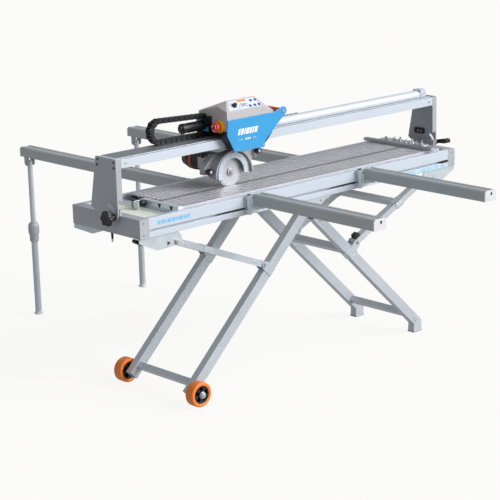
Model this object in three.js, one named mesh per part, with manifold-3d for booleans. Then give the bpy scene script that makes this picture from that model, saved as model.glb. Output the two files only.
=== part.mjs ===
// Bridge tile cutter on a folding wheeled stand. Millimetres, +Z up, floor at z = 0.
// X runs along the cut, -Y is the operator's side. The group's origin is under the middle of its box.
import * as THREE from "three";
import { ConvexGeometry } from "three/addons/geometries/ConvexGeometry.js";
import { mergeVertices } from "three/addons/utils/BufferGeometryUtils.js";
import Module from "manifold-3d";

const wasm = await Module();
wasm.setup();

// ---------------------------------------------------------------- driving dimensions
const GAP = 0.3; // clearance between neighbouring pieces
const HALF_L = 825; // half the frame's length
const HALF_W = 192; // half the frame's width
const RAIL_TOP = 732;
const RAIL_LOW = 662;
const RAIL_T = 24; // rail thickness in Y
const END_T = 40; // length of the end boxes' corner castings
const SLOT_Z = 687; // middle of the rails' T-slots
const TABLE_TOP = 740;
const TABLE_LOW = 718;
const TABLE_LEFT = -606;
const TABLE_RIGHT = 760;

const BLADE_Y = -36; // blade plane, which also holds the tilt axis
const PIVOT_Z = 740; // tilt axis height
const PIVOT_R = 49; // rounded foot of the columns
const BEAM_FRONT = -85;
const BEAM_BACK = 29;
const BEAM_LOW = 899;
const BEAM_TOP = 932;
const COLUMN_IN = 829; // inner face of a column's side plate
const COLUMN_OUT = 835;
const BEAM_END = 811; // inner edge of the columns' front flanges
const CONTROL_OUT = 878; // outermost point of the knob and the lever on the columns

const SAW_X = -262; // blade centre
const SAW_Z = 791;
const BLADE_R = 57.5;
const BOX_LEFT = -342; // control box's left face
const PLATE_FRONT = -124;
const PLATE_BACK = 44;
const CHAIN_BEND_X = -560;
const CHAIN_LOW = 933;
const CHAIN_H = 17;
const CHAIN_R = 47.5; // outer radius of the drag chain's bend
const CHAIN_FIXED_X = 150; // the lower run's fixed end
const CHAIN_END_Z = 1001; // underside of the upper run's moving end

const HIP_Z = 630; // the leg frames' common shaft
const WHEEL_X = -601;
const WHEEL_R = 47;
const FOOT_X = 604;
const FOOT_Z = 50;
const STAY_X = 658; // stay hinges, from the middle
const STAY_Z = 626;
const ARM_X = 290; // side arms, from the middle
const ARM_W = 60;
const ARM_LOW = 700;
const FRONT_REACH = 824;
const REAR_DROP = 6; // the rear arms sit this much below the table
const REAR_REACH = 1228;
const REAR_LEG_Y = 1203;
const REAR_HINGE_Z = 666;

// ---------------------------------------------------------------- solids
function solid(geometry) {
  const flat = geometry.index ? geometry.toNonIndexed() : geometry.clone();
  flat.deleteAttribute("normal");
  flat.deleteAttribute("uv");
  const merged = mergeVertices(flat, 1e-4);
  return new wasm.Manifold(new wasm.Mesh({
    numProp: 3,
    vertProperties: merged.attributes.position.array,
    triVerts: new Uint32Array(merged.index.array),
  }));
}

const join = (...parts) => parts.reduce((sum, part) => sum.add(part));
const cut = (body, ...tools) => tools.reduce((left, tool) => left.subtract(tool), body);

function box(x, y, z) {
  const g = new THREE.BoxGeometry(x[1] - x[0], y[1] - y[0], z[1] - z[0]);
  return solid(g.translate((x[0] + x[1]) / 2, (y[0] + y[1]) / 2, (z[0] + z[1]) / 2));
}

// Turns local XY with the extrusion along +Z into the plane across the named axis.
const TURNS = {
  x: new THREE.Matrix4().set(0, 0, 1, 0, 1, 0, 0, 0, 0, 1, 0, 0, 0, 0, 0, 1),
  y: new THREE.Matrix4().set(1, 0, 0, 0, 0, 0, -1, 0, 0, 1, 0, 0, 0, 0, 0, 1),
  z: new THREE.Matrix4(),
};

// A flat outline carried along an axis from one value to another. The outline is in (Y, Z) for
// axis x, (X, Z) for axis y and (X, Y) for axis z.
function prism(axis, outline, from, to, segments = 12) {
  const shape = outline instanceof THREE.Shape
    ? outline
    : new THREE.Shape(outline.map(([a, b]) => new THREE.Vector2(a, b)));
  const g = new THREE.ExtrudeGeometry(shape, {
    depth: to - from, bevelEnabled: false, curveSegments: segments,
  });
  g.applyMatrix4(TURNS[axis]);
  const shift = axis === "y" ? to : from;
  return solid(g.translate(...["x", "y", "z"].map((k) => (k === axis ? shift : 0))));
}

function disc(axis, centre, radius, from, to, sides = 24) {
  const shape = new THREE.Shape();
  for (let i = 0; i < sides; i += 1) {
    const turn = (2 * Math.PI * i) / sides;
    const point = [centre[0] + radius * Math.cos(turn), centre[1] + radius * Math.sin(turn)];
    if (i) shape.lineTo(...point);
    else shape.moveTo(...point);
  }
  return prism(axis, shape, from, to);
}

// A flat ring segment between two radii, from one angle to another in degrees.
function arcBand(centre, inner, outer, start, end, steps = 24) {
  const ring = (radius, k) => {
    const turn = THREE.MathUtils.degToRad(start + ((end - start) * k) / steps);
    return [centre[0] + radius * Math.cos(turn), centre[1] + radius * Math.sin(turn)];
  };
  const points = [];
  for (let k = 0; k <= steps; k += 1) points.push(ring(outer, k));
  for (let k = steps; k >= 0; k -= 1) points.push(ring(inner, k));
  return points;
}

// Outline of a star knob or a toothed wheel: radius follows a cosine with the given lobe count.
function lobedOutline(centre, radius, depth, lobes, steps) {
  return Array.from({ length: steps }, (_, k) => {
    const turn = (2 * Math.PI * k) / steps;
    const r = radius - depth * (0.5 - 0.5 * Math.cos(lobes * turn));
    return [centre[0] + r * Math.cos(turn), centre[1] + r * Math.sin(turn)];
  });
}

// A straight bar in the XZ plane, given its two ends, its width and its Y span.
function bar(start, end, width, y, extra = [0, 0]) {
  const along = new THREE.Vector2(end[0] - start[0], end[1] - start[1]).normalize();
  const side = new THREE.Vector2(-along.y, along.x).multiplyScalar(width / 2);
  const a = [start[0] - along.x * extra[0], start[1] - along.y * extra[0]];
  const b = [end[0] + along.x * extra[1], end[1] + along.y * extra[1]];
  return prism("y", [
    [a[0] - side.x, a[1] - side.y], [b[0] - side.x, b[1] - side.y],
    [b[0] + side.x, b[1] + side.y], [a[0] + side.x, a[1] + side.y],
  ], y[0], y[1]);
}

// ---------------------------------------------------------------- scene graph
const PAINT = {
  rail: [0xc3cbd8, 0.4, 0.7], casting: [0x868b95, 0.5, 0.3], table: [0xa9adb6, 0.35, 0.8],
  tray: [0xd9ddcf, 0.6, 0], zinc: [0xc4d4dc, 0.35, 0.8], tube: [0xb4bbc3, 0.4, 0.6],
  arm: [0x858c92, 0.4, 0.7], black: [0x151517, 0.5, 0], blue: [0x35a7e0, 0.4, 0.1],
  cabinet: [0xb9b6b8, 0.5, 0.1], red: [0xd8402c, 0.4, 0], steel: [0xcfd2d4, 0.25, 0.9],
  casing: [0x77797c, 0.5, 0.4], tyre: [0xf08a35, 0.6, 0], button: [0x2a5fb4, 0.4, 0],
};
const root = new THREE.Group();
const model = new THREE.Group();
model.position.y = -(REAR_REACH - FRONT_REACH) / 2;
root.add(model);

function add(name, body, paint) {
  const { vertProperties, triVerts } = body.getMesh();
  const geometry = new THREE.BufferGeometry();
  geometry.setAttribute("position", new THREE.BufferAttribute(vertProperties, 3));
  geometry.setIndex(new THREE.BufferAttribute(triVerts, 1));
  const [color, roughness, metalness] = PAINT[paint];
  const mesh = new THREE.Mesh(
    geometry.toNonIndexed(), new THREE.MeshStandardMaterial({ color, roughness, metalness }));
  mesh.geometry.computeVertexNormals();
  mesh.name = name;
  model.add(mesh);
}

// Both signs of a span, lowest first: span(-1, a, b) mirrors a..b about zero.
const span = (sign, a, b) => (sign > 0 ? [a, b] : [-b, -a]);
const mirrored = (sign, points) => {
  const out = points.map(([a, b]) => [sign * a, b]);
  return sign > 0 ? out : out.reverse();
};
const SIDES = [["left", -1], ["right", 1]];

// ---------------------------------------------------------------- base frame
// T-slot: mouth, then a wider chamber behind a 6 mm lip.
const SLOT_MOUTH = 4;
const SLOT_CHAMBER = 7;
const LIP = 6;
const SLOT_DEPTH = 12;

function rail(sign) {
  const outer = HALF_W;
  const inner = HALF_W - RAIL_T;
  const profile = mirrored(sign, [
    [inner, RAIL_LOW], [outer, RAIL_LOW], [outer, SLOT_Z - SLOT_MOUTH],
    [outer - LIP, SLOT_Z - SLOT_MOUTH], [outer - LIP, SLOT_Z - SLOT_CHAMBER],
    [outer - SLOT_DEPTH, SLOT_Z - SLOT_CHAMBER], [outer - SLOT_DEPTH, SLOT_Z + SLOT_CHAMBER],
    [outer - LIP, SLOT_Z + SLOT_CHAMBER], [outer - LIP, SLOT_Z + SLOT_MOUTH],
    [outer, SLOT_Z + SLOT_MOUTH], [outer, RAIL_TOP], [inner, RAIL_TOP],
  ]);
  const end = HALF_L - END_T - GAP;
  const hollow = (low, high) =>
    box([-end - 1, end + 1], span(sign, inner + 3, outer - 3), [low, high]);
  return cut(prism("x", profile, -end, end),
    hollow(SLOT_Z + SLOT_CHAMBER + 4, RAIL_TOP - 4), hollow(RAIL_LOW + 3, SLOT_Z - SLOT_CHAMBER - 3));
}
add("front_rail", rail(-1), "rail");
add("rear_rail", rail(1), "rail");

// End box: a plate across the end with two corner castings, and an ear that carries the tilt pin.
const END_PLATE = 8;
const EAR_TOP = 754;
const PIN_R = 6;
const LEVER_YZ = [-72, 741]; // clamp bolt of the right column

function endBox(sign) {
  const plate = box(span(sign, HALF_L - END_PLATE, HALF_L), [-HALF_W, HALF_W], [RAIL_LOW, RAIL_TOP]);
  const corner = (side) => box(
    span(sign, HALF_L - END_T, HALF_L), span(side, HALF_W - RAIL_T, HALF_W), [RAIL_LOW, RAIL_TOP]);
  const ear = box(span(sign, HALF_L - END_PLATE, HALF_L), [-84, -18], [RAIL_TOP - 4, EAR_TOP]);
  const bore = disc("x", [BLADE_Y, PIVOT_Z], PIN_R + GAP, ...span(sign, HALF_L - 20, HALF_L + 1));
  const top = box(span(sign, HALF_L - END_T, HALF_L), [-HALF_W, HALF_W], [RAIL_TOP - 4, RAIL_TOP]);
  return cut(join(plate, top, corner(-1), corner(1), ear), bore);
}
for (const [side, sign] of SIDES) add(`${side}_end_box`, endBox(sign), "casting");

// Water tray: deep under the table, shallow in the open bay at the left end.
const TRAY_END = 812;
const TRAY_Y = 165;
const TRAY_LOW = 664;
const TRAY_WALL = 2.5;
const BAY_RIGHT = -645;
const BAY_FLOOR = 709;
const BAY_RIM = 716;
const TRAY_RIM = 700;
add("water_tray", cut(
  join(
    box([-TRAY_END, BAY_RIGHT], [-TRAY_Y, TRAY_Y], [TRAY_LOW, BAY_RIM]),
    box([BAY_RIGHT, TRAY_END], [-TRAY_Y, TRAY_Y], [TRAY_LOW, TRAY_RIM])),
  box([-TRAY_END + TRAY_WALL, BAY_RIGHT - TRAY_WALL], [-TRAY_Y + TRAY_WALL, TRAY_Y - TRAY_WALL],
    [BAY_FLOOR, BAY_RIM + 1]),
  box([-TRAY_END + TRAY_WALL, BAY_RIGHT - TRAY_WALL], [-TRAY_Y + TRAY_WALL, TRAY_Y - TRAY_WALL],
    [TRAY_LOW - 1, BAY_FLOOR - TRAY_WALL]),
  box([BAY_RIGHT + TRAY_WALL, TRAY_END - TRAY_WALL], [-TRAY_Y + TRAY_WALL, TRAY_Y - TRAY_WALL],
    [TRAY_LOW + TRAY_WALL, TRAY_RIM + 1])), "tray");

add("water_pump", join(
  box([768, 802], [30, 80], [TRAY_LOW + TRAY_WALL + GAP, 696]),
  disc("z", [785, 55], 7, 690, 712, 16)), "black");

// Table: two hollow ribbed plates either side of the blade slot. The rear one is undercut at 45
// degrees, so the tilted blade passes below the top face.
const SLOT_FRONT = -40;
const SLOT_BACK = -32;
const TABLE_FRONT_Y = -166;
const TABLE_BACK_Y = 150;
const GROOVE_HALF = 3.2;
const GROOVE_DEPTH = 3.5;
const FENCE_X = [684, 704];
const FENCE_SEAT = TABLE_TOP - 1; // the table is milled down where the fence stands

function ribbedTop(from, to, ribs) {
  const pitch = (to - from) / (ribs + 1);
  const points = [];
  for (let k = 1; k <= ribs; k += 1) {
    const middle = from + pitch * k;
    points.push([middle - GROOVE_HALF, TABLE_TOP], [middle - GROOVE_HALF, TABLE_TOP - GROOVE_DEPTH],
      [middle + GROOVE_HALF, TABLE_TOP - GROOVE_DEPTH], [middle + GROOVE_HALF, TABLE_TOP]);
  }
  return points.reverse();
}

function tablePlate(outline, hollows, xs) {
  const holes = hollows.map(([a, b]) =>
    box([xs[0] - 1, xs[1] + 1], [a, b], [TABLE_LOW + 3, TABLE_TOP - 6.5]));
  const seat = box([FENCE_X[0] - 2, xs[1] + 1], [-HALF_W, HALF_W], [FENCE_SEAT, TABLE_TOP + 1]);
  return cut(prism("x", outline, ...xs), seat, ...holes);
}
add("table_front", tablePlate(
  [[TABLE_FRONT_Y, TABLE_LOW], [SLOT_FRONT, TABLE_LOW], [SLOT_FRONT, TABLE_TOP],
    ...ribbedTop(TABLE_FRONT_Y, SLOT_FRONT, 5), [TABLE_FRONT_Y, TABLE_TOP]],
  [[-163, -105], [-101, -44]], [TABLE_LEFT + GAP, TABLE_RIGHT]), "table");
add("table_rear", tablePlate(
  [[SLOT_BACK + TABLE_TOP - TABLE_LOW, TABLE_LOW], [TABLE_BACK_Y, TABLE_LOW],
    [TABLE_BACK_Y, TABLE_TOP], ...ribbedTop(SLOT_BACK, TABLE_BACK_Y, 7), [SLOT_BACK, TABLE_TOP]],
  [[0, 45], [49, 96], [100, 146]], [TABLE_LEFT + 14, TABLE_RIGHT]), "table");

// The end bar caps the left end of the table and rests on a cross bar between the rails.
const CROSS_Y = HALF_W - RAIL_T - GAP;
add("table_end_bar", join(
  box([-628, TABLE_LEFT], [TABLE_FRONT_Y, 43], [706, 741]),
  box([-640, TABLE_LEFT], [-CROSS_Y, CROSS_Y], [702, 717])), "zinc");

// Stop fence across the right end.
add("tile_fence", join(
  box(FENCE_X, [-190, 185], [FENCE_SEAT + GAP, FENCE_SEAT + 13]),
  box([FENCE_X[1] - 1, 758], [-60, 60], [FENCE_SEAT + GAP, FENCE_SEAT + 5])), "table");

// ---------------------------------------------------------------- stand brackets
const CHEEK = [183, 187]; // Y span of the brackets' side plates
const HIP_R = 8;
const STAY_BOLT_R = 6;
const UNDER = RAIL_LOW - GAP;

function crossShaft(x, z, radius) {
  return disc("y", [x, z], radius, -CHEEK[1], CHEEK[1], 20);
}
const cheek = (sign, outline) => prism("y", outline, ...span(sign, ...CHEEK));
const hipOutline = [[-75, UNDER], [-34, 614], [34, 614], [95, 650], [134, UNDER]];
add("centre_bracket", join(cheek(-1, hipOutline), cheek(1, hipOutline), crossShaft(0, HIP_Z, HIP_R)),
  "zinc");

function standBracket(sign) {
  const outline = mirrored(sign, [
    [632, 640], [636, 613], [746, 609], [826, 646], [826, UNDER], [646, UNDER]]);
  const bridge = box(span(sign, 700, 780), [-CHEEK[1], CHEEK[1]], [656, UNDER]);
  const bolt = (side) => disc("y", [sign * STAY_X, STAY_Z], STAY_BOLT_R, ...span(side, CHEEK[0], 191), 20);
  return join(cheek(-1, outline), cheek(1, outline), bridge, bolt(-1), bolt(1));
}
// The stays swing in between the cheeks, below the cross plate.
for (const [side, sign] of SIDES) add(`${side}_stand_bracket`, standBracket(sign), "zinc");

// ---------------------------------------------------------------- tilting bridge
const FLANGE_LOW = 786; // the flanges stop here, so they clear the end boxes when tilted
const LEVER_SLOT_R = LEVER_YZ[0] - BLADE_Y; // negative: the bolt is in front of the pivot
const KNOB_YZ = [-62, 726];

function columnOutline() {
  const foot = arcBand([BLADE_Y, PIVOT_Z], 0, PIVOT_R, 180, 325, 16).slice(0, 17);
  return [...foot, [67, 750], [BEAM_BACK, BEAM_TOP + 2], [BEAM_FRONT, BEAM_TOP + 2]];
}

function column(sign) {
  const plate = prism("x", columnOutline(), ...span(sign, COLUMN_IN, COLUMN_OUT));
  const flange = box(span(sign, BEAM_END, COLUMN_IN + 2), [BEAM_FRONT, BEAM_FRONT + 3],
    [FLANGE_LOW, BEAM_TOP + 2]);
  const pin = disc("x", [BLADE_Y, PIVOT_Z], PIN_R, ...span(sign, HALF_L - END_PLATE, COLUMN_IN + 1), 20);
  const whole = join(plate, flange, pin);
  if (sign < 0) return cut(whole, disc("x", KNOB_YZ, 5 + GAP, -COLUMN_OUT - 1, -COLUMN_IN + 1, 16));
  // The clamp bolt stays with the end box, and its slot turns past it with the column.
  const slot = arcBand([BLADE_Y, PIVOT_Z], -LEVER_SLOT_R - 5, -LEVER_SLOT_R + 5, 112, 186, 14);
  return cut(whole, prism("x", slot, COLUMN_IN - 1, COLUMN_OUT + 1));
}
for (const [side, sign] of SIDES) add(`${side}_column`, column(sign), "casting");

const RACK_Y = [-78, -62];
const RACK_FLOOR = 924;
add("bridge_beam", cut(
  join(
    box([-BEAM_END + GAP, BEAM_END - GAP], [BEAM_FRONT, BEAM_BACK], [BEAM_LOW, BEAM_TOP]),
    box([-COLUMN_IN + GAP, COLUMN_IN - GAP], [BEAM_FRONT + 3 + GAP, BEAM_BACK - 1],
      [BEAM_LOW + 1, BEAM_TOP - 1])),
  box([-COLUMN_IN - 1, COLUMN_IN + 1], [BEAM_FRONT + 6, BEAM_BACK - 4], [BEAM_LOW + 4, 919]),
  box([-COLUMN_IN - 1, COLUMN_IN + 1], RACK_Y, [RACK_FLOOR, BEAM_TOP + 1])), "rail");

const RACK_TOP = 929;
add("feed_rack", box([-806, 806], [RACK_Y[0] + 0.5, RACK_Y[1] - 0.5], [RACK_FLOOR + GAP, RACK_TOP]),
  "steel");

// Cable duct: half-round top, from the middle of the beam to its right end.
const DUCT_Y = [-50, -12];
const DUCT_R = (DUCT_Y[1] - DUCT_Y[0]) / 2;
const DUCT_MID = (DUCT_Y[0] + DUCT_Y[1]) / 2;
const DUCT_SPRING = 941;
add("cable_duct", join(
  prism("x", [...arcBand([DUCT_MID, DUCT_SPRING], 0, DUCT_R, 0, 180, 12).slice(0, 13),
    [DUCT_Y[0], BEAM_TOP + GAP], [DUCT_Y[1], BEAM_TOP + GAP]], -95, 776),
  box([775, 808], [DUCT_Y[0] - 2, DUCT_Y[1] + 2], [BEAM_TOP + GAP, 963])), "rail");

// Drag chain: lower run, bend and upper run as one band.
const CHAIN_MID = CHAIN_LOW + CHAIN_R;
const CHAIN_Y = [-6, 26];
const chainBand = [
  ...arcBand([CHAIN_BEND_X, CHAIN_MID], 0, CHAIN_R, 90, 270, 16).slice(0, 17),
  [CHAIN_FIXED_X, CHAIN_LOW], [CHAIN_FIXED_X, CHAIN_LOW + CHAIN_H],
  ...arcBand([CHAIN_BEND_X, CHAIN_MID], 0, CHAIN_R - CHAIN_H, 90, 270, 16).slice(0, 17).reverse(),
  [-345, CHAIN_END_Z], [-345, CHAIN_END_Z + CHAIN_H],
];
add("drag_chain", prism("y", chainBand, ...CHAIN_Y), "black");

// Star knob on the left column; clamp lever on the right one.
add("tilt_knob", join(
  prism("x", lobedOutline(KNOB_YZ, 29, 5, 6, 48), -CONTROL_OUT, -856),
  disc("x", KNOB_YZ, 13, -857, -COLUMN_OUT - GAP, 20),
  disc("x", KNOB_YZ, 5, -COLUMN_OUT - 2, -HALF_L - 1, 16)), "black");
add("tilt_lever", join(
  disc("x", LEVER_YZ, 4, HALF_L + GAP, COLUMN_OUT + 2, 16),
  disc("x", LEVER_YZ, 9, COLUMN_OUT + GAP, 856, 20),
  prism("x", [[-66, 735], [-66, 748], [-110, 757], [-122, 752], [-122, 740], [-108, 737]], 852, 864),
  prism("x", [[-122, 740], [-108, 737], [-110, 757], [-122, 752]], 862, CONTROL_OUT)), "black");

// ---------------------------------------------------------------- carriage
// Saddle: a closed ring round the beam with a tunnel above it for the duct and the chain.
const TUNNEL_TOP = 972;
const RING_LOW = 893;
const SKIRT_T = 3; // the control box's left skirt
const SADDLE_LEFT = BOX_LEFT + SKIRT_T + GAP;
const PINION = [-300, 941.5];
const PINION_R = 12.2;
const RAIL_ROD = 7; // the saw's two guide rods
const ROD_Y = 21;
const RODS_X = [-345, -137];

function saddle() {
  const front = prism("y",
    [[-318, RING_LOW], [-165, RING_LOW], [-150, 900], [-120, 930], [-120, 985],
      [SADDLE_LEFT, 985], [SADDLE_LEFT, 961], [-352, 957], [-352, 943]],
    PLATE_FRONT + 4 + GAP, -90);
  const rear = box([SADDLE_LEFT, -150], [33, PLATE_BACK - GAP], [RING_LOW, 985]);
  const top = box([SADDLE_LEFT, -120], [-119, 43], [TUNNEL_TOP, 985]);
  const under = box([-318, -165], [-119, 43], [RING_LOW, 896]);
  const shelfTop = CHAIN_END_Z - GAP;
  const tab = join(
    box([-362, BOX_LEFT - GAP], [-18, 24], [shelfTop - 4, shelfTop]),
    box([-352, BOX_LEFT - GAP], [-36, -14], [TUNNEL_TOP, 1012]),
    box([-352, -335], [-36, -14], [TUNNEL_TOP, 984]));
  const shelf = join(...RODS_X.map((x) =>
    box([Math.min(x - 10, -170), Math.max(x + 10, -310)].sort((a, b) => a - b),
      [ROD_Y - 9, ROD_Y + 9], [RING_LOW, 896])));
  const rods = join(...RODS_X.map((x) => disc("z", [x, ROD_Y], RAIL_ROD, 806, RING_LOW + 2, 20)));
  const shaftHole = disc("y", PINION, 4 + GAP, -104, -89, 16);
  return cut(join(front, rear, top, under, tab, shelf, rods), shaftHole);
}
add("carriage_saddle", saddle(), "black");

// Control box: a faceted hood with a sloped panel, and a skirt down its left side.
const HOOD_LOW = 985 + GAP;
const PANEL_LOW = [-120, 1034]; // (Y, Z) of the panel's lower edge
const PANEL_TOP = [-79, 1069];
const panelLength = Math.hypot(PANEL_TOP[0] - PANEL_LOW[0], PANEL_TOP[1] - PANEL_LOW[1]);
const panelUp = [(PANEL_TOP[0] - PANEL_LOW[0]) / panelLength,
  (PANEL_TOP[1] - PANEL_LOW[1]) / panelLength];
const BUTTONS = [[-200, 36], [-178, 36], [-218, 12], [-196, 12], [-175, 12]]; // X, distance up the panel
const BUTTON_R = 5.6;
const KNOB_AT = [-290, 24];

// A round peg square to the panel, at X and a distance up the slope, from one height to another.
function panelPeg([x, up], radius, low, high, sides = 16) {
  const g = new THREE.CylinderGeometry(radius, radius, high - low, sides);
  g.translate(0, (low + high) / 2, 0);
  g.rotateX(Math.PI - Math.atan2(panelUp[0], panelUp[1]));
  return solid(g.translate(x, PANEL_LOW[0] + panelUp[0] * up, PANEL_LOW[1] + panelUp[1] * up));
}

const hoodCorners = [
  ...[[-120, HOOD_LOW], [36, HOOD_LOW]].flatMap(([y, z]) => [[BOX_LEFT, y, z], [-112, y, z]]),
  [BOX_LEFT, ...PANEL_LOW], [-163, ...PANEL_LOW], [-112, -120, 1012], [-112, 36, 1004],
  [BOX_LEFT, -65, 1051], [BOX_LEFT, 36, 1026], [-309, ...PANEL_TOP], [-172, ...PANEL_TOP],
].map((p) => new THREE.Vector3(...p));
const SKIRT_LOW = 962;
const MOTOR_YZ = [8, 975];
add("control_box", cut(
  join(
    solid(new ConvexGeometry(hoodCorners)),
    box([BOX_LEFT, BOX_LEFT + SKIRT_T], [-119, -55], [SKIRT_LOW, HOOD_LOW + 2])),
  ...BUTTONS.map((at) => panelPeg(at, BUTTON_R + GAP + 0.2, -7, 4))), "cabinet");
BUTTONS.forEach((at, k) => add(`button_${k + 1}`, panelPeg(at, BUTTON_R, -4, 2.6), "button"));
add("speed_knob", join(panelPeg(KNOB_AT, 10, GAP, 4, 20), panelPeg(KNOB_AT, 7.5, 3.5, 14, 20)), "black");

// Side plates, mirrored front and back, with lobes that carry the handle bar.
const LOBE = [-64, 1003];
const LOBE_R = 17;
const platePoints = [[-342, 1005], [-347, 949], [-312, 884], [-163, 881], [-160, 903], [-96, 958]];
function sidePlate(y) {
  const lobe = arcBand(LOBE, 0, LOBE_R, -38, 130, 14).slice(0, 15);
  return prism("y", [...platePoints, ...lobe, [-112, 1005]], y, y + 4);
}
add("front_plate", sidePlate(PLATE_FRONT), "blue");
add("rear_plate", join(sidePlate(PLATE_BACK),
  box([BOX_LEFT - 4, BOX_LEFT - GAP], [-12, PLATE_BACK + 4], [956, 990])), "blue");
add("handle_bar", disc("y", LOBE, 10, PLATE_FRONT + 4 + GAP, PLATE_BACK - GAP, 20), "red");

add("feed_motor", join(
  disc("x", MOTOR_YZ, 19, -455, BOX_LEFT - 4 - GAP, 24),
  disc("x", MOTOR_YZ, 12, -461, -454, 16)), "black");
add("feed_pinion", join(
  prism("y", lobedOutline(PINION, PINION_R, 4, 12, 60), -77, -63),
  disc("y", PINION, 4, -102, -56, 16)), "steel");

const ESTOP_YZ = [-82, 978];
add("estop_button", join(
  disc("x", ESTOP_YZ, 8, -356, BOX_LEFT - 5.5, 16),
  disc("x", ESTOP_YZ, 20, -372, -355, 28), disc("x", ESTOP_YZ, 15, -376, -371, 28)), "red");

// ---------------------------------------------------------------- saw head
const CASE_Y = [-20, 6];
const RIM = { centre: [-257, 782], inner: 88, outer: 91.5 };
const LUG_Z = [812, 852];

function housing() {
  const back = prism("y", [
    [-374, 793], [-190, 793], [-168, 800], [-140, 793], [-134, 826], [-104, 838], [-104, 862],
    [-330, 862], [-374, 820]], ...CASE_Y);
  const rim = prism("y", arcBand(RIM.centre, RIM.inner, RIM.outer, -2, 182, 28), -58, CASE_Y[0] + 1);
  const lugs = join(...RODS_X.map((x) =>
    box([x - 13, x + 13], [CASE_Y[1] - 1, ROD_Y + 13], LUG_Z)));
  const bores = RODS_X.map((x) => disc("z", [x, ROD_Y], RAIL_ROD + GAP, LUG_Z[0] - 1, LUG_Z[1] + 1, 20));
  return cut(join(back, rim, lugs), ...bores);
}
add("saw_housing", housing(), "casing");
add("saw_motor", join(
  disc("y", [-270, 818], 40, CASE_Y[1] + GAP, 182, 28),
  disc("y", [-270, 818], 33, 181, 200, 28)), "black");
add("guard_cover", join(
  prism("y", arcBand([SAW_X, SAW_Z], 54, 75, -8, 196, 28), -56, -50),
  prism("y", arcBand([SAW_X, SAW_Z], 71, 75, -8, 196, 28), -51, CASE_Y[0] - GAP)), "rail");

const depthKnob = ([x, z]) => join(
  disc("y", [x, z], 12, -46, -28, 20), disc("y", [x, z], 6, -29, CASE_Y[0] - GAP, 12));
add("depth_knob_left", depthKnob([-361, 806]), "black");
add("depth_knob_right", depthKnob([-117, 849]), "black");

add("saw_blade", cut(
  disc("y", [SAW_X, SAW_Z], BLADE_R, BLADE_Y - 1.1, BLADE_Y + 1.1, 60),
  disc("y", [SAW_X, SAW_Z], 8 + GAP, BLADE_Y - 2, BLADE_Y + 2, 20)), "steel");
add("blade_flange", join(
  disc("y", [SAW_X, SAW_Z], 16, BLADE_Y - 6, BLADE_Y - 1.1 - GAP, 24),
  disc("y", [SAW_X, SAW_Z], 8, BLADE_Y - 9, CASE_Y[0] - GAP, 20),
  disc("y", [SAW_X, SAW_Z], 18, BLADE_Y + 1.1 + GAP, BLADE_Y + 7, 24)), "steel");

// ---------------------------------------------------------------- folding stand
const TUBE_D = 30; // tube size in Y
const STAY_PIN_R = 4;
const WHEEL_AXLE = [WHEEL_X, WHEEL_R];

// One leg frame: two tubes from the hip to the floor, cross bars, and ears for the stay.
function legFrame({ foot, inside, width, start, end, bars, stayAt, stayOff, earY }) {
  const hip = [0, HIP_Z];
  const length = Math.hypot(foot[0], foot[1] - HIP_Z);
  const along = [foot[0] / length, (foot[1] - HIP_Z) / length];
  const out = [-along[1] * Math.sign(foot[0]), along[0] * Math.sign(foot[0])];
  const at = (s, off = 0) => [along[0] * s + out[0] * off, HIP_Z + along[1] * s + out[1] * off];
  const pieces = [];
  for (const sign of [-1, 1]) {
    const y = span(sign, inside, inside + TUBE_D);
    pieces.push(cut(bar(at(start), foot, width, y, [0, end]),
      bar(at(start), foot, width - 5, [y[0] + 2.5, y[1] - 2.5], [10, end + 14])));
    const joint = at(stayAt, stayOff);
    pieces.push(disc("y", joint, STAY_PIN_R, ...span(sign, inside - 2.6, inside + TUBE_D + 2.6), 16));
    for (const offset of earY) {
      const ear = span(sign, inside + offset, inside + offset + 2.6);
      pieces.push(join(
        bar(at(stayAt, -width / 2), joint, 34, ear), disc("y", joint, 13, ...ear, 20)));
    }
  }
  for (const [s, size] of bars) {
    pieces.push(prism("y", [
      at(s - size / 2, -size / 2), at(s + size / 2, -size / 2),
      at(s + size / 2, size / 2), at(s - size / 2, size / 2),
    ].sort((a, b) => Math.atan2(a[1] - at(s)[1], a[0] - at(s)[0])
      - Math.atan2(b[1] - at(s)[1], b[0] - at(s)[0])), -inside - 1, inside + 1));
  }
  return { body: join(...pieces), joint: at(stayAt, stayOff) };
}

const hipHole = disc("y", [0, HIP_Z], HIP_R + GAP, -200, 200, 20);
const WHEEL_LEGS = 150; // inner face of the wheeled frame's tubes
const FOOT_LEGS = 149;
const wheelLegs = legFrame({
  foot: WHEEL_AXLE, inside: WHEEL_LEGS, width: 40, start: -20, end: 16, bars: [[806, 24]],
  stayAt: 289, stayOff: 34, earY: [-2.6, TUBE_D] });
const axle = (sign) => join(
  disc("y", WHEEL_AXLE, 6, ...span(sign, WHEEL_LEGS + TUBE_D - 3, 235), 16),
  disc("y", WHEEL_AXLE, 10, ...span(sign, 231, 237), 16),
  disc("y", WHEEL_AXLE, 16, ...span(sign, WHEEL_LEGS + TUBE_D - 3, 185), 20));
add("wheel_leg_frame", cut(join(wheelLegs.body, axle(-1), axle(1)), hipHole), "tube");

for (const [name, sign] of [["front", -1], ["rear", 1]]) {
  const tread = span(sign, 187, 229);
  add(`wheel_${name}`, cut(
    disc("y", WHEEL_AXLE, WHEEL_R, ...tread, 48),
    disc("y", WHEEL_AXLE, 6 + GAP, tread[0] - 1, tread[1] + 1, 20)), "tyre");
}

const footLegs = legFrame({
  foot: [FOOT_X, FOOT_Z], inside: FOOT_LEGS, width: 38, start: 56, end: 8, bars: [[304, 26], [790, 24]],
  stayAt: 320, stayOff: 50, earY: [-2.6, TUBE_D] });
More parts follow.
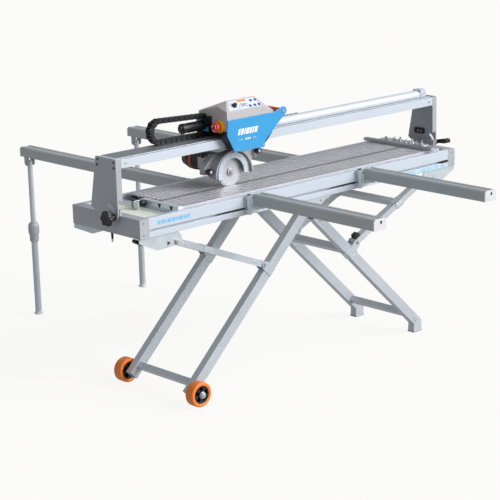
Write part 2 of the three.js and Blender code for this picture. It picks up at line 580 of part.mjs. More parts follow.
// Upright shoes, and flat hip ears that pass inside the wheeled frame's tubes.
const shoe = (sign) => prism("y", [
  [FOOT_X - 16, 0], [FOOT_X + 30, 0], [FOOT_X + 30, 47.5], [FOOT_X + 18, 59], [FOOT_X - 14, 45],
], ...span(sign, FOOT_LEGS - 1, FOOT_LEGS + TUBE_D + 1));
const hipEar = (sign) => join(
  bar([0, HIP_Z], [FOOT_X * 0.14, HIP_Z + (FOOT_Z - HIP_Z) * 0.14], 34,
    span(sign, FOOT_LEGS - 2.6, FOOT_LEGS + 0.6)),
  disc("y", [0, HIP_Z], 17, ...span(sign, FOOT_LEGS - 2.6, FOOT_LEGS + 0.6), 24));
add("foot_leg_frame", cut(
  join(footLegs.body, shoe(-1), shoe(1), hipEar(-1), hipEar(1)), hipHole), "tube");

// Stays: an H of two links and a cross bar, pinned to the legs, with a bolt hole at the end brackets.
function stay(sign, joint, inside) {
  const hinge = [sign * STAY_X, STAY_Z];
  const length = Math.hypot(joint[0] - hinge[0], joint[1] - hinge[1]);
  const along = [(joint[0] - hinge[0]) / length, (joint[1] - hinge[1]) / length];
  const pieces = [];
  for (const side of [-1, 1]) {
    const y = span(side, inside + 1, inside + TUBE_D - 1);
    pieces.push(bar(hinge, joint, 24, y), disc("y", hinge, 13, ...y, 20), disc("y", joint, 12, ...y, 20));
  }
  const middle = [hinge[0] + along[0] * 165, hinge[1] + along[1] * 165];
  pieces.push(bar([middle[0] - along[0] * 12, middle[1] - along[1] * 12],
    [middle[0] + along[0] * 12, middle[1] + along[1] * 12], 22, [-inside - 2, inside + 2]));
  return cut(join(...pieces), disc("y", hinge, STAY_BOLT_R + GAP, -200, 200, 20),
    disc("y", joint, STAY_PIN_R + GAP, -200, 200, 16));
}
add("left_stay", stay(-1, wheelLegs.joint, WHEEL_LEGS), "tube");
add("right_stay", stay(1, footLegs.joint, FOOT_LEGS), "tube");

// ---------------------------------------------------------------- side arms
// The T-shaped tongue that slides in a rail's slot, from the rail's face inwards.
function tongue(x, sign) {
  return join(
    box([x - 20, x + 20], span(sign, HALF_W - LIP - 1, HALF_W + 1),
      [SLOT_Z - SLOT_MOUTH + 0.5, SLOT_Z + SLOT_MOUTH - 0.5]),
    box([x - 20, x + 20], span(sign, HALF_W - SLOT_DEPTH + 0.5, HALF_W - LIP - 0.5),
      [SLOT_Z - SLOT_CHAMBER + 0.5, SLOT_Z + SLOT_CHAMBER - 0.5]));
}

// A hollow arm along Y with chamfered top edges, closed at its far end.
function armTube(x, near, far, sign, drop) {
  const [half, chamfer, low, top] = [ARM_W / 2, 6, ARM_LOW - drop, TABLE_TOP - drop];
  const outer = prism("y", [
    [x - half, low], [x + half, low], [x + half, top - chamfer],
    [x + half - chamfer, top], [x - half + chamfer, top], [x - half, top - chamfer],
  ], ...span(sign, near, far));
  const hollow = box([x - half + 2.5, x + half - 2.5], span(sign, near - 8, far - 5),
    [low + 2.5, top - 8]);
  return { outer, hollow };
}

const PIN_Y = -206;
const PIN_OFF = 34; // hinge pin, left of the arm's middle
const EYE_Z = [684.5, 721.5];

for (const [side, sign] of SIDES) {
  const x = sign * ARM_X;
  const pin = [x - PIN_OFF, PIN_Y];
  const knuckle = (low, high) => join(
    disc("z", pin, 9, low, high, 20),
    box([pin[0] - 9, pin[0] + 9], [PIN_Y, -HALF_W - 1], [low, high]));
  add(`front_arm_bracket_${side}`, join(
    box([x - 43, x + 24], [-197, -HALF_W - GAP], [668, 736]), tongue(x, -1),
    knuckle(666, EYE_Z[0] - 0.5), knuckle(EYE_Z[1] + 0.5, 738),
    disc("z", pin, 5, 670, 730, 16)), "zinc");
  const bodyX = x + 4;
  const arm = armTube(bodyX, 216, FRONT_REACH, -1, 0);
  add(`front_arm_${side}`, join(
    cut(arm.outer, arm.hollow),
    cut(join(box([pin[0], bodyX - ARM_W / 2 + 2], [-226, PIN_Y - 6], [ARM_LOW, EYE_Z[1]]),
      disc("z", pin, 9, ...EYE_Z, 20)), disc("z", pin, 5 + GAP, 680, 730, 20))), "arm");
}

// Rear arms slide on the rear rail and stand on folding telescopic legs.
const CHEEK_IN = 12.5;
const CHEEK_OUT = 18;
const LEG_R = 11;
const SLEEVE_R = 13.75;
const COLLAR_R = 23.5;
for (const [side, sign] of SIDES) {
  const x = sign * ARM_X;
  const at = [x, REAR_LEG_Y];
  const fork = (s) => box([x + (s < 0 ? -CHEEK_OUT : CHEEK_IN), x + (s < 0 ? -CHEEK_IN : CHEEK_OUT)],
    [REAR_LEG_Y - 14, REAR_LEG_Y + 14], [REAR_HINGE_Z - 12, ARM_LOW - REAR_DROP + 1]);
  const arm = armTube(x, HALF_W + 4, REAR_REACH, 1, REAR_DROP);
  add(`rear_arm_${side}`, cut(
    join(arm.outer, box([x - ARM_W / 2, x + ARM_W / 2], [HALF_W + GAP, HALF_W + 6], [668, TABLE_TOP - REAR_DROP]),
      tongue(x, 1), fork(-1), fork(1)),
    arm.hollow, disc("x", [REAR_LEG_Y, REAR_HINGE_Z], 4 + GAP, x - 20, x + 20, 16)), "arm");
  add(`rear_leg_upper_${side}`, join(
    disc("z", at, LEG_R, 200, REAR_HINGE_Z + 10, 20),
    disc("x", [REAR_LEG_Y, REAR_HINGE_Z], 4, x - CHEEK_OUT, x + CHEEK_OUT, 16)), "tube");
  add(`rear_leg_lower_${side}`, cut(
    join(disc("z", at, SLEEVE_R, 2, 396, 24), disc("z", at, 19, 0, 6, 24)),
    disc("z", at, LEG_R + 0.4, 150, 397, 20)), "tube");
  add(`leg_collar_${side}`, cut(
    disc("z", at, COLLAR_R, 322, 405, 24),
    disc("z", at, SLEEVE_R + 0.4, 321, 398, 24), disc("z", at, LEG_R + 0.6, 397, 406, 20)), "casing");
}

export default root;
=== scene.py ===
"""Looks of a bridge tile cutter on a folding wheeled stand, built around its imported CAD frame.

Shapes are made in the design frame: millimetres, X along the cut, Y from the middle of the rail
frame (negative towards the operator), Z up from the floor. TO_FRAME takes them to the row frame.
"""

import math

import bmesh
import bpy
from mathutils import Matrix, Vector


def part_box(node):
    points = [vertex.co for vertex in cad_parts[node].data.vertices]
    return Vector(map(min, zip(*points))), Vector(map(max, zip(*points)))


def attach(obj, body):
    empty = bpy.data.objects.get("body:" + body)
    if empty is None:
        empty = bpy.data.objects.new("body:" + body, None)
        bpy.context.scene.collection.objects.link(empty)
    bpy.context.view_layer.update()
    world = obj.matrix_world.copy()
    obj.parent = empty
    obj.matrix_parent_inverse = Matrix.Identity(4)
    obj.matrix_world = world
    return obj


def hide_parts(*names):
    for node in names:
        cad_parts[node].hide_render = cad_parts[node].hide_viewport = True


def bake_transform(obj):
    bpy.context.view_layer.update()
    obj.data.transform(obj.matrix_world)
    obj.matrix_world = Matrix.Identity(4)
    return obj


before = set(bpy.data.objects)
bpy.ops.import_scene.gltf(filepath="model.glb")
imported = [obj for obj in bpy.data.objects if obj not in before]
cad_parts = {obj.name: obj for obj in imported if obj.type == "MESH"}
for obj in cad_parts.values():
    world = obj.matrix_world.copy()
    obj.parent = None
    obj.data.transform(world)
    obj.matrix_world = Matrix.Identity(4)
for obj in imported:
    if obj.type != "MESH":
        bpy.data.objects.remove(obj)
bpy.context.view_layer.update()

# ---- the design frame
MID_Y = (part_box("front_rail")[0].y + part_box("rear_rail")[1].y) / 2
TO_FRAME = Matrix.Translation((0, MID_Y, 0)) @ Matrix.Scale(0.001, 4)
SIDES = (("left", -1), ("right", 1))


def cad(node):
    """A CAD node's box in the design frame: ((x0, x1), (y0, y1), (z0, z1)) in millimetres."""
    low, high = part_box(node)
    shift = (0, MID_Y, 0)
    return [((low[k] - shift[k]) * 1000, (high[k] - shift[k]) * 1000) for k in range(3)]


def middle(pair):
    return (pair[0] + pair[1]) / 2


def turned(node, axis, across=0):
    """A round CAD node: its start and end along its axis, its centre, and its radius. The radius is
    half its size in the first or second direction across the axis."""
    box = dict(zip("xyz", cad(node)))
    start, end = box.pop(axis)
    sides = list(box.values())
    low, high = sides[across]
    return start, end, (middle(sides[0]), middle(sides[1])), (high - low) / 2


# ---- camera
def make_camera():
    """The camera stands in front of the left end, a little above the machine."""
    azimuth, elevation, roll = (math.radians(x) for x in (42.221, 14.499, -1.624))
    forward = Vector((math.sin(azimuth) * math.cos(elevation),
                      math.cos(azimuth) * math.cos(elevation), -math.sin(elevation)))
    flat_right = Vector((math.cos(azimuth), -math.sin(azimuth), 0))
    flat_up = flat_right.cross(forward)
    right = flat_right * math.cos(roll) + flat_up * math.sin(roll)
    up = flat_up * math.cos(roll) - flat_right * math.sin(roll)
    camera = bpy.data.objects.new("camera", bpy.data.cameras.new("camera"))
    bpy.context.scene.collection.objects.link(camera)
    turn = Matrix((right, up, -forward)).transposed().to_4x4()
    camera.matrix_world = Matrix.Translation((-4.543, -4.853 + MID_Y, 2.155)) @ turn
    camera.data.sensor_width = 36
    camera.data.lens = 127.41
    camera.data.clip_end = 200
    bpy.context.scene.camera = camera


# ---- studio
PAPER = (0.99, 0.985, 0.97, 1)


def add_node(tree, kind, **values):
    """A shader node with its constant inputs, whose names have _ for each space."""
    node = tree.nodes.new("ShaderNode" + kind)
    for name, value in values.items():
        node.inputs[name.replace("_", " ")].default_value = value
    return node


def wire(tree, *pairs):
    for source, target in pairs:
        tree.links.new(source, target)


def make_surround(scene):
    """An even white surround that is dimmer behind the machine, seen by the camera as paper."""
    world = bpy.data.worlds.new("studio")
    scene.world = world
    world.use_nodes = True
    tree = world.node_tree
    tree.nodes.clear()
    where = add_node(tree, "TexCoord")
    facing = add_node(tree, "VectorMath")
    facing.operation = "DOT_PRODUCT"
    facing.inputs[1].default_value = Vector((0.45, -0.80, 0.40)).normalized()
    level = add_node(tree, "MapRange", From_Min=-0.9, From_Max=0.8, To_Min=0.22, To_Max=0.72)
    light = add_node(tree, "Background", Color=(0.94, 0.97, 1.0, 1))
    white = add_node(tree, "Background", Color=PAPER)
    path = add_node(tree, "LightPath")
    mix = add_node(tree, "MixShader")
    out = add_node(tree, "OutputWorld")
    wire(tree, (where.outputs["Generated"], facing.inputs[0]),
         (facing.outputs["Value"], level.inputs["Value"]),
         (level.outputs["Result"], light.inputs["Strength"]),
         (path.outputs["Is Camera Ray"], mix.inputs["Fac"]),
         (light.outputs[0], mix.inputs[1]), (white.outputs[0], mix.inputs[2]),
         (mix.outputs[0], out.inputs["Surface"]))


def make_floor(scene):
    """A pale sweep under the machine that takes a faint shadow."""
    half = 40
    mesh = bpy.data.meshes.new("floor")
    mesh.from_pydata([(-half, -half, 0), (half, -half, 0), (half, half, 0), (-half, half, 0)],
                     [], [(0, 1, 2, 3)])
    floor = bpy.data.objects.new("floor", mesh)
    floor.location.z = -0.0005
    scene.collection.objects.link(floor)
    sweep = bpy.data.materials.new("sweep")
    sweep.use_nodes = True
    tree = sweep.node_tree
    tree.nodes.clear()
    glow = add_node(tree, "Emission", Color=PAPER)
    seen = add_node(tree, "LightPath")
    level = add_node(tree, "MapRange", To_Min=0.45, To_Max=1.02)
    matt = add_node(tree, "BsdfDiffuse", Color=(0.62, 0.62, 0.61, 1))
    mix = add_node(tree, "MixShader", Fac=0.12)
    out = add_node(tree, "OutputMaterial")
    wire(tree, (seen.outputs["Is Camera Ray"], level.inputs["Value"]),
         (level.outputs["Result"], glow.inputs["Strength"]),
         (glow.outputs[0], mix.inputs[1]), (matt.outputs[0], mix.inputs[2]),
         (mix.outputs[0], out.inputs["Surface"]))
    mesh.materials.append(sweep)


def make_studio():
    scene = bpy.context.scene
    scene.view_settings.view_transform = "Standard"
    make_surround(scene)
    key = bpy.data.lights.new("key", "SUN")
    key.energy = 3.4
    key.angle = math.radians(35)
    key.color = (1.0, 0.985, 0.96)
    lamp = bpy.data.objects.new("key", key)
    lamp.rotation_euler = Vector((0.50, -0.76, 0.48)).to_track_quat("Z", "Y").to_euler()
    scene.collection.objects.link(lamp)
    make_floor(scene)


# ---- materials
SPREAD = 0.08  # how far roughness wanders


def material(name, colour, rough, metal=0.0, vary=0.06, streak=None, grain=(900, 0.05), coat=0.0,
             blotch=9, wear_and_highlight=None):
    """A procedural finish. streak names the axis it is brushed along, grain is (scale, bump),
    vary is how far its colour wanders, and the edge colour, lighter than the base, is partly
    edge wear and partly a painted highlight on the rounded edges."""
    made = bpy.data.materials.new(name)
    made.use_nodes = True
    tree = made.node_tree
    shader = tree.nodes["Principled BSDF"]
    shader.inputs["Metallic"].default_value = metal
    shader.inputs["Coat Weight"].default_value = coat
    shader.inputs["Coat Roughness"].default_value = 0.12
    place = add_node(tree, "TexCoord")
    stretch = add_node(tree, "Mapping", Scale=[0.02 if axis == streak else 1 for axis in "xyz"])
    wire(tree, (place.outputs["Object"], stretch.inputs["Vector"]))

    def noise(scale, detail, source):
        node = add_node(tree, "TexNoise", Scale=scale, Detail=detail)
        wire(tree, (source, node.inputs["Vector"]))
        return node.outputs["Fac"]

    def ranged(value, low, high):
        node = add_node(tree, "MapRange", From_Min=0.3, From_Max=0.7, To_Min=low, To_Max=high)
        wire(tree, (value, node.inputs["Value"]))
        return node.outputs["Result"]

    def mixed(factor, first, second):
        node = add_node(tree, "Mix")
        node.data_type = "RGBA"
        wire(tree, (factor, node.inputs["Factor"]))
        for socket, value in ((node.inputs[6], first), (node.inputs[7], second)):
            if isinstance(value, (tuple, list)):
                socket.default_value = (*value, 1)
            else:
                wire(tree, (value, socket))
        return node.outputs[2]

    fine = noise(grain[0], 4, stretch.outputs["Vector"])
    broad = noise(blotch, 3, place.outputs["Object"])
    darker = [c * (1 - vary) for c in colour]
    lighter = [min(1, c * (1 + vary)) for c in colour]
    tone = mixed(ranged(broad, 0, 1), darker, lighter)
    if streak:
        tone = mixed(ranged(fine, 0, 0.5), tone, [c * (1 - 2.5 * vary) for c in colour])
    # Edges turn towards the lighter edge colour: partly edge wear, partly a painted highlight where light
    # would catch the rounded edges.
    if wear_and_highlight:
        rounding = add_node(tree, "Bevel", Radius=0.0012)
        rounding.samples = 4
        shape = add_node(tree, "NewGeometry")
        dot = add_node(tree, "VectorMath")
        dot.operation = "DOT_PRODUCT"
        edge = add_node(tree, "MapRange", From_Min=0.985, From_Max=0.90, To_Max=0.7)
        wire(tree, (rounding.outputs["Normal"], dot.inputs[0]),
             (shape.outputs["Normal"], dot.inputs[1]), (dot.outputs["Value"], edge.inputs["Value"]))
        tone = mixed(edge.outputs["Result"], tone, wear_and_highlight)
    roughness = ranged(fine if streak else broad, rough - SPREAD / 2, rough + SPREAD / 2)
    bump = add_node(tree, "Bump", Strength=grain[1], Distance=0.0005)
    wire(tree, (tone, shader.inputs["Base Color"]), (roughness, shader.inputs["Roughness"]),
         (fine, bump.inputs["Height"]), (bump.outputs["Normal"], shader.inputs["Normal"]))
    return made


# The edge colours below are lighter than their bases: partly edge wear, partly painted highlight.
LOOKS = {
    "rail": material("rail_anodised", (0.57, 0.62, 0.70), 0.52, 0.35, 0.03, "x", (500, 0.03)),
    "casting": material("grey_powder_coat", (0.385, 0.405, 0.445), 0.5, 0.15, 0.04,
                        grain=(1400, 0.12), wear_and_highlight=(0.54, 0.56, 0.60)),
    "table": material("table_brushed", (0.53, 0.53, 0.57), 0.42, 0.7, 0.04, "x", (700, 0.03)),
    "tray": material("tray_moulded", (0.84, 0.85, 0.76), 0.5, 0, 0.03, grain=(600, 0.04), coat=0.1),
    "zinc": material("zinc_plated", (0.66, 0.73, 0.78), 0.34, 0.6, 0.04, grain=(220, 0.04),
                     blotch=25),
    "tube": material("tube_silver", (0.52, 0.56, 0.62), 0.38, 0.35, 0.03, grain=(900, 0.02),
                     coat=0.15),
    "arm": material("arm_anodised", (0.40, 0.43, 0.45), 0.40, 0.35, 0.03, "y", (600, 0.05)),
    "cap": material("cap_moulded", (0.62, 0.62, 0.65), 0.5, 0, 0.03, grain=(900, 0.06)),
    "black": material("black_moulded", (0.012, 0.012, 0.014), 0.42, 0, 0.2, grain=(1300, 0.15)),
    "black_metal": material("black_enamel", (0.010, 0.010, 0.012), 0.33, 0.1, 0.2,
                            grain=(800, 0.05), wear_and_highlight=(0.07, 0.07, 0.075)),
    "blue": material("blue_enamel", (0.030, 0.31, 0.64), 0.36, 0.0, 0.03, grain=(900, 0.03),
                     coat=0.3, wear_and_highlight=(0.12, 0.50, 0.85)),
    "cabinet": material("cabinet_coat", (0.46, 0.44, 0.45), 0.5, 0.0, 0.03, grain=(1500, 0.10),
                        wear_and_highlight=(0.62, 0.61, 0.62)),
    "panel": material("panel_foil", (0.60, 0.65, 0.74), 0.4, 0, 0.02, grain=(1200, 0.03)),
    "red": material("red_grip", (0.62, 0.075, 0.035), 0.42, 0, 0.06, grain=(1100, 0.10)),
    "steel": material("ground_steel", (0.52, 0.53, 0.55), 0.48, 0.7, 0.06, grain=(700, 0.04)),
    "casing": material("cast_alloy", (0.42, 0.43, 0.45), 0.5, 0.4, 0.08, grain=(700, 0.2),
                       wear_and_highlight=(0.55, 0.56, 0.57)),
    "tyre": material("orange_urethane", (0.80, 0.20, 0.025), 0.45, 0, 0.07, grain=(500, 0.10)),
    "button": material("blue_cap", (0.02, 0.06, 0.30), 0.3, 0, 0.05, grain=(900, 0.03), coat=0.3),
    "stop": material("red_cap", (0.66, 0.03, 0.02), 0.35, 0, 0.05, grain=(900, 0.03), coat=0.3),
    "yellow": material("yellow_collar", (0.85, 0.48, 0.015), 0.4, 0, 0.04, grain=(900, 0.05)),
    "amber": material("amber_window", (0.80, 0.22, 0.05), 0.2, 0, 0.05, grain=(900, 0.01), coat=0.5),
    "mark_blue": material("blue_print", (0.17, 0.45, 0.72), 0.5, 0, 0.03, grain=(900, 0.02)),
    "film": material("pale_blue_print", (0.42, 0.62, 0.86), 0.4, 0.2, 0.28, grain=(120, 0.02),
                     blotch=60),
    "mark_white": material("white_print", (0.85, 0.87, 0.88), 0.5, 0, 0.02, grain=(900, 0.02)),
    # A dark coat for the thin strip over the beam's top: painted shade.
    "shade": material("beam_top_shade_coat", (0.20, 0.215, 0.24), 0.42, 0.3, 0.04, "x", (600, 0.03)),
    "grit": material("diamond_rim", (0.42, 0.42, 0.42), 0.5, 0.7, 0.15, grain=(1600, 0.4)),
}

# ---- mesh making
EDGE = math.radians(32)  # edges sharper than this are rounded
CIRCLE = 40


def spot(axis, along, a, b):
    """A point from its place along an axis and its two other coordinates, in XYZ order."""
    return {"x": (along, a, b), "y": (a, along, b), "z": (a, b, along)}[axis]


def arc(centre, radius, start, end, steps):
    """Points on an arc, with its angles in degrees."""
    turns = [math.radians(start + (end - start) * k / steps) for k in range(steps + 1)]
    return [(centre[0] + radius * math.cos(t), centre[1] + radius * math.sin(t)) for t in turns]


def rounded(x, z, radius, steps=5):
    """A rectangle's outline with round corners."""
    corners = ((x[1], z[1], 0), (x[0], z[1], 90), (x[0], z[0], 180), (x[1], z[0], 270))
    points = []
    for cx, cz, turn in corners:
        inner = (cx - radius * (1 if cx == x[1] else -1), cz - radius * (1 if cz == z[1] else -1))
        points += arc(inner, radius, turn, turn + 90, steps)
    return points


def weigh(obj):
    """Large faces keep their own normals, and the rounded edges blend between them."""
    weighted = obj.modifiers.new("normals", "WEIGHTED_NORMAL")
    weighted.keep_sharp = True


class Shape:
    """A mesh being built in the design frame."""

    def __init__(self):
        self.bm = bmesh.new()

    def skin(self, rings, ring_closed=False):
        """Joins rings of points by quads. The ends are capped, or joined if ring_closed."""
        rows = [[self.bm.verts.new(p) for p in ring] for ring in rings]
        count = len(rows[0])
        pairs = list(zip(rows, rows[1:] + rows[:1] if ring_closed else rows[1:]))
        for first, second in pairs:
            for k in range(count):
                n = (k + 1) % count
                self.bm.faces.new((first[k], first[n], second[n], second[k]))
        if not ring_closed:
            self.bm.faces.new(rows[0][::-1])
            self.bm.faces.new(rows[-1])
        return self

    def prism(self, axis, outline, low, high):
        return self.skin([[spot(axis, s, a, b) for a, b in outline] for s in (low, high)])

    def box(self, x, y, z):
        return self.prism("z", [(x[0], y[0]), (x[1], y[0]), (x[1], y[1]), (x[0], y[1])], *z)

    def lathe(self, axis, centre, profile, closed=False, steps=CIRCLE, lobes=0, depth=0.0):
        """Turns (along, radius) pairs round an axis. A closed profile makes a ring.
        With lobes the radius dips by depth between them."""
        rings = []
        for along, radius in profile:
            ring = []
            for k in range(steps):
                turn = 2 * math.pi * k / steps
                r = radius - depth * (0.5 - 0.5 * math.cos(lobes * turn)) * (lobes > 0)
                ring.append(spot(axis, along, centre[0] + r * math.cos(turn),
                                 centre[1] + r * math.sin(turn)))
            rings.append(ring)
        return self.skin(rings, closed)

    def add(self, other, matrix):
        """Adds a copy of another shape, moved by a matrix."""
        mesh = bpy.data.meshes.new("copy")
        other.bm.to_mesh(mesh)
        mesh.transform(matrix)
        self.bm.from_mesh(mesh)
        bpy.data.meshes.remove(mesh)
        return self

    def slab(self, axis, a, b, radius, low, high, steps=5):
        """A plate with round corners."""
        return self.prism(axis, rounded(a, b, radius, steps), low, high)

    def mesh(self, name, look, bevel):
        bm = self.bm
        bmesh.ops.recalc_face_normals(bm, faces=bm.faces)
        if bevel:
            edges = [e for e in bm.edges if len(e.link_faces) == 2 and e.calc_face_angle(0) > EDGE]
            bmesh.ops.bevel(bm, geom=edges, offset=bevel, segments=2, profile=0.5,
                            affect="EDGES", clamp_overlap=True)
        made = bpy.data.meshes.new(name)
        bm.to_mesh(made)
        bm.free()
        made.transform(TO_FRAME)
        made.polygons.foreach_set("use_smooth", [True] * len(made.polygons))
        made.set_sharp_from_angle(angle=math.radians(40))
        made.materials.append(LOOKS[look])
        return made

    def make(self, name, body, look, bevel=0.0, replaces=None):
        """Finishes the shape as a piece that rides on a CAD body."""
        obj = bpy.data.objects.new(name, self.mesh(name, look, bevel))
        bpy.context.scene.collection.objects.link(obj)
        weigh(obj)
        if body:
            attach(obj, body)
        if replaces:
            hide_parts(replaces)
        return obj


def frame_of(origin, along, up):
    """The matrix that takes X to along and Z to up, at an origin."""
    x = Vector(along).normalized()
    z = Vector(up).normalized()
    return Matrix.Translation(origin) @ Matrix((x, z.cross(x), z)).transposed().to_4x4()


def placed(at, degrees, axis):
    """The matrix that turns about an axis and then moves to a point."""
    return Matrix.Translation(at) @ Matrix.Rotation(math.radians(degrees), 4, axis)


def screw(shape, axis, at, radius, low, high, hexagon=False):
    """A screw head: a domed disc with a socket, or a hexagon on a washer."""
    sign = 1 if high > low else -1
    if hexagon:
        shape.lathe(axis, at, [(low, radius * 1.35), (low + sign * 1.2, radius * 1.35)], steps=24)
        return shape.lathe(axis, at, [(low, radius), (high - sign, radius), (high, radius * 0.88)],
                           steps=6)
    socket = radius * 0.5
    return shape.lathe(axis, at, [
        (low, radius), (high - sign * radius * 0.25, radius), (high, radius * 0.8),
        (high, socket), (high - sign * radius * 0.3, socket)], steps=20)


def screws(shape, axis, places, *size, hexagon=False):
    for at in places:
        screw(shape, axis, at, *size, hexagon=hexagon)


def slanted_bars(shape, start, widths, lean, z, y):
    """Bars in place of lettering, each with a gap after it."""
    gap = 4
    for width in widths:
        end = start + width - gap
        shape.prism("y", [(start, z[0]), (end, z[0]), (end + lean, z[1]), (start + lean, z[1])], *y)
        start += width


def dress(node, look, bevel=0.8):
    """Gives a CAD node its finish and rounds its edges, without touching its shape."""
    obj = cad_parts[node]
    mesh = obj.data
    if "custom_normal" in mesh.attributes:
        mesh.attributes.remove(mesh.attributes["custom_normal"])
    mesh.polygons.foreach_set("use_smooth", [True] * len(mesh.polygons))
    mesh.edges.foreach_set("use_edge_sharp", [False] * len(mesh.edges))
    mesh.materials.clear()
    mesh.materials.append(LOOKS[look])
    weld = obj.modifiers.new("weld", "WELD")
    weld.merge_threshold = 1e-5
    flat = obj.modifiers.new("flat", "DECIMATE")
    flat.decimate_type = "DISSOLVE"
    flat.angle_limit = math.radians(1)
    if bevel:
        edge = obj.modifiers.new("edge", "BEVEL")
        edge.width = bevel / 1000
        edge.segments = 2
        edge.limit_method = "ANGLE"
        edge.angle_limit = EDGE
        edge.use_clamp_overlap = True
    weigh(obj)


# ---- CAD nodes that keep their shape
def dress_frame():
    for look, bevel, nodes in (
        ("rail", 1.0, ("front_rail", "rear_rail", "bridge_beam", "cable_duct", "guard_cover")),
        ("casting", 1.5, ("left_end_box", "right_end_box", "left_column", "right_column")),
        ("table", 0.4, ("table_front", "table_rear")),
        ("table", 1.0, ("tile_fence",)),
        ("tray", 1.0, ("water_tray",)),
        ("black", 1.0, ("water_pump", "tilt_lever")),
        ("zinc", 0.8, ("table_end_bar", "centre_bracket", "left_stand_bracket",
                       "right_stand_bracket", "front_arm_bracket_left",
                       "front_arm_bracket_right")),
        ("tube", 2.2, ("wheel_leg_frame", "foot_leg_frame", "left_stay", "right_stay")),
        ("black_metal", 0.8, ("carriage_saddle",)),
        ("cabinet", 2.2, ("control_box",)),
        ("blue", 1.0, ("front_plate", "rear_plate")),
        ("casing", 1.6, ("saw_housing",)),
    ):
        for node in nodes:
            dress(node, look, bevel)


# ---- frame details
PRINT = 0.25  # how far a printed mark stands out


def end_box_bolts():
    for side, sign in SIDES:
        (x0, x1), (y0, y1), (z0, _) = cad(f"{side}_end_box")
        face = x0 if sign < 0 else x1
        bolts = Shape()
        screws(bolts, "x", [(y, z) for y in (y0 + 24, y1 - 24) for z in (z0 + 14, z0 + 56)],
               4.5, face, face + sign * 2.4)
        bolts.make(f"end_bolts_{side}", "base", "steel", 0.2)
        corner = Shape()
        for y in (y0, y1):
            screws(corner, "y", [(face - sign * 18, z) for z in (z0 + 13, z0 + 57)],
                   4, y, y + math.copysign(2, y))
        corner.make(f"corner_screws_{side}", "base", "casting", 0.2)


def rail_prints():
    """Generic stripes where the machine carries its markings."""
    (x0, _), (y0, _), (z0, z1) = cad("front_rail")
    face = (y0 - PRINT, y0 + 0.2)
    bars = Shape()
    slanted_bars(bars, x0 + 37, (19, 19, 10, 19, 19, 10, 26, 15, 15), 4, (z1 - 29, z1 - 15), face)
    bars.make("rail_stripes", "base", "mark_blue")
    Shape().box((500, 765), face, (z0 + 2, z0 + 17)).make("rail_band", "base", "film")
    Shape().slab("y", (738, 782), (z0 + 19.5, z0 + 30.5), 5.4, y0 - 0.3, y0 + 0.2).make(
        "slot_mouth", "base", "black")


def table_details():
    """Slot ends, the black roller and its bracket at the table's left end."""
    (x0, _), _, (_, z1) = cad("table_end_bar")
    holes = Shape()
    for y in (-128, -62):
        holes.prism("x", [(y - 10, z1 - 3), (y + 10, z1 - 3), (y + 2, z1 - 18), (y - 2, z1 - 18)],
                    -628.6, -627.5)
    holes.make("bar_slots", "base", "black")
    Shape().lathe("x", (20, 730), [(-650, 8), (-647, 11), (-630, 11), (-628, 9)]).make(
        "stop_roller", "base", "black", 0.4)
    Shape().box((-668, -628), (36, 43), (712, 738)).box((-668, -662), (10, 43), (712, 738)).make(
        "roller_bracket", "base", "zinc", 0.6)
    Shape().box((x0 + 8, x0 + 12), (-150, 40), (716, 722)).make("end_bar_lip", "base", "zinc", 0.5)


def fence_details():
    """Clamp bolts and wing nuts between the fence and the right column."""
    (x0, _), _, (_, z1) = cad("tile_fence")
    foot = 744
    bolts = Shape()
    for x, y in ((718, -44), (748, -30), (718, 12), (746, 34), (722, 92), (744, -84)):
        screw(bolts, "z", (x, y), 7, foot, foot + 9, hexagon=True)
        bolts.lathe("z", (x, y), [(foot + 8, 4), (foot + 19, 4)], steps=14)
    for x, y in ((732, -8), (738, 62), (736, -62)):
        bolts.lathe("z", (x, y), [(foot, 8), (foot + 3, 8), (foot + 5, 5), (foot + 9, 5)], steps=24)
        for turn in (25, 205):
            wing = Shape().prism("y", [(3, 0), (6, 0), (15, 9), (15, 13), (12, 14), (4, 6)], -1.3, 1.3)
            bolts.add(wing, placed((x, y, foot + 3), turn, "Z"))
    bolts.make("fence_clamps", "base", "steel", 0.3)
    Shape().slab("z", (706, 780), (-96, 110), 8, 739.2, 743.5).make("clamp_plate", "base", "zinc", 0.4)
    Shape().box((x0 + 8, x0 + 12), (-186, 180), (z1 - 0.2, z1 + 0.2)).make(
        "fence_line", "base", "black")


HIP = Vector((0, 0, 630))
STAND_FACE = 187  # the brackets' outer faces, each side of the middle
STAY_HINGE = (658, 626)
DRAIN = (-806, -10)


def stand_details():
    """Nuts, slots, the latch handle and the drain hose under the ends."""
    for side, sign in SIDES:
        nuts, marks = Shape(), Shape()
        hinge = (sign * STAY_HINGE[0], STAY_HINGE[1])
        for out in (-1, 1):
            face = out * STAND_FACE
            screw(nuts, "y", hinge, 9, face, face + out * 8, hexagon=True)
            nuts.lathe("y", hinge, [(face, 3.5), (face + out * 11, 3.5)], steps=16)
            marks.prism("y", [(sign * 700, 634), (sign * 686, 626), (sign * 700, 618)],
                        *sorted((out * 186.8, out * 187.6)))
        nuts.make(f"stay_nuts_{side}", "base", "steel", 0.4)
        marks.make(f"bracket_slots_{side}", "base", "black")
    hip = Shape()
    for out in (-1, 1):
        face = out * STAND_FACE
        screw(hip, "y", HIP.xz, 11, face, face + out * 9, hexagon=True)
        screws(hip, "y", ((62, 650), (98, 650)), 4.5, face, face + out * 3)
    hip.make("hip_nuts", "base", "steel", 0.4)
    latch = Shape()
    latch.add(Shape().slab("y", (-34, 10), (-7, 7), 6.5, -7, 7),
              frame_of((-806, -165, 642), (1, 0, -0.55), (0.55, 0, 1)))
    latch.make("latch_handle", "base", "black", 2)
    Shape().lathe("z", DRAIN, [(634, 4), (662, 5)], steps=20).make("drain_hose", "base", "black", 0.4)
    Shape().lathe("z", DRAIN, [(622, 2.5), (624, 3.6), (635, 3.6)], steps=20).make(
        "drain_tip", "base", "zinc", 0.3)


# ---- bridge details
PIVOT = (-36, 740)
COLUMN_OUT = 835  # the columns' outer faces, each side of the middle
COLUMN_IN = 829


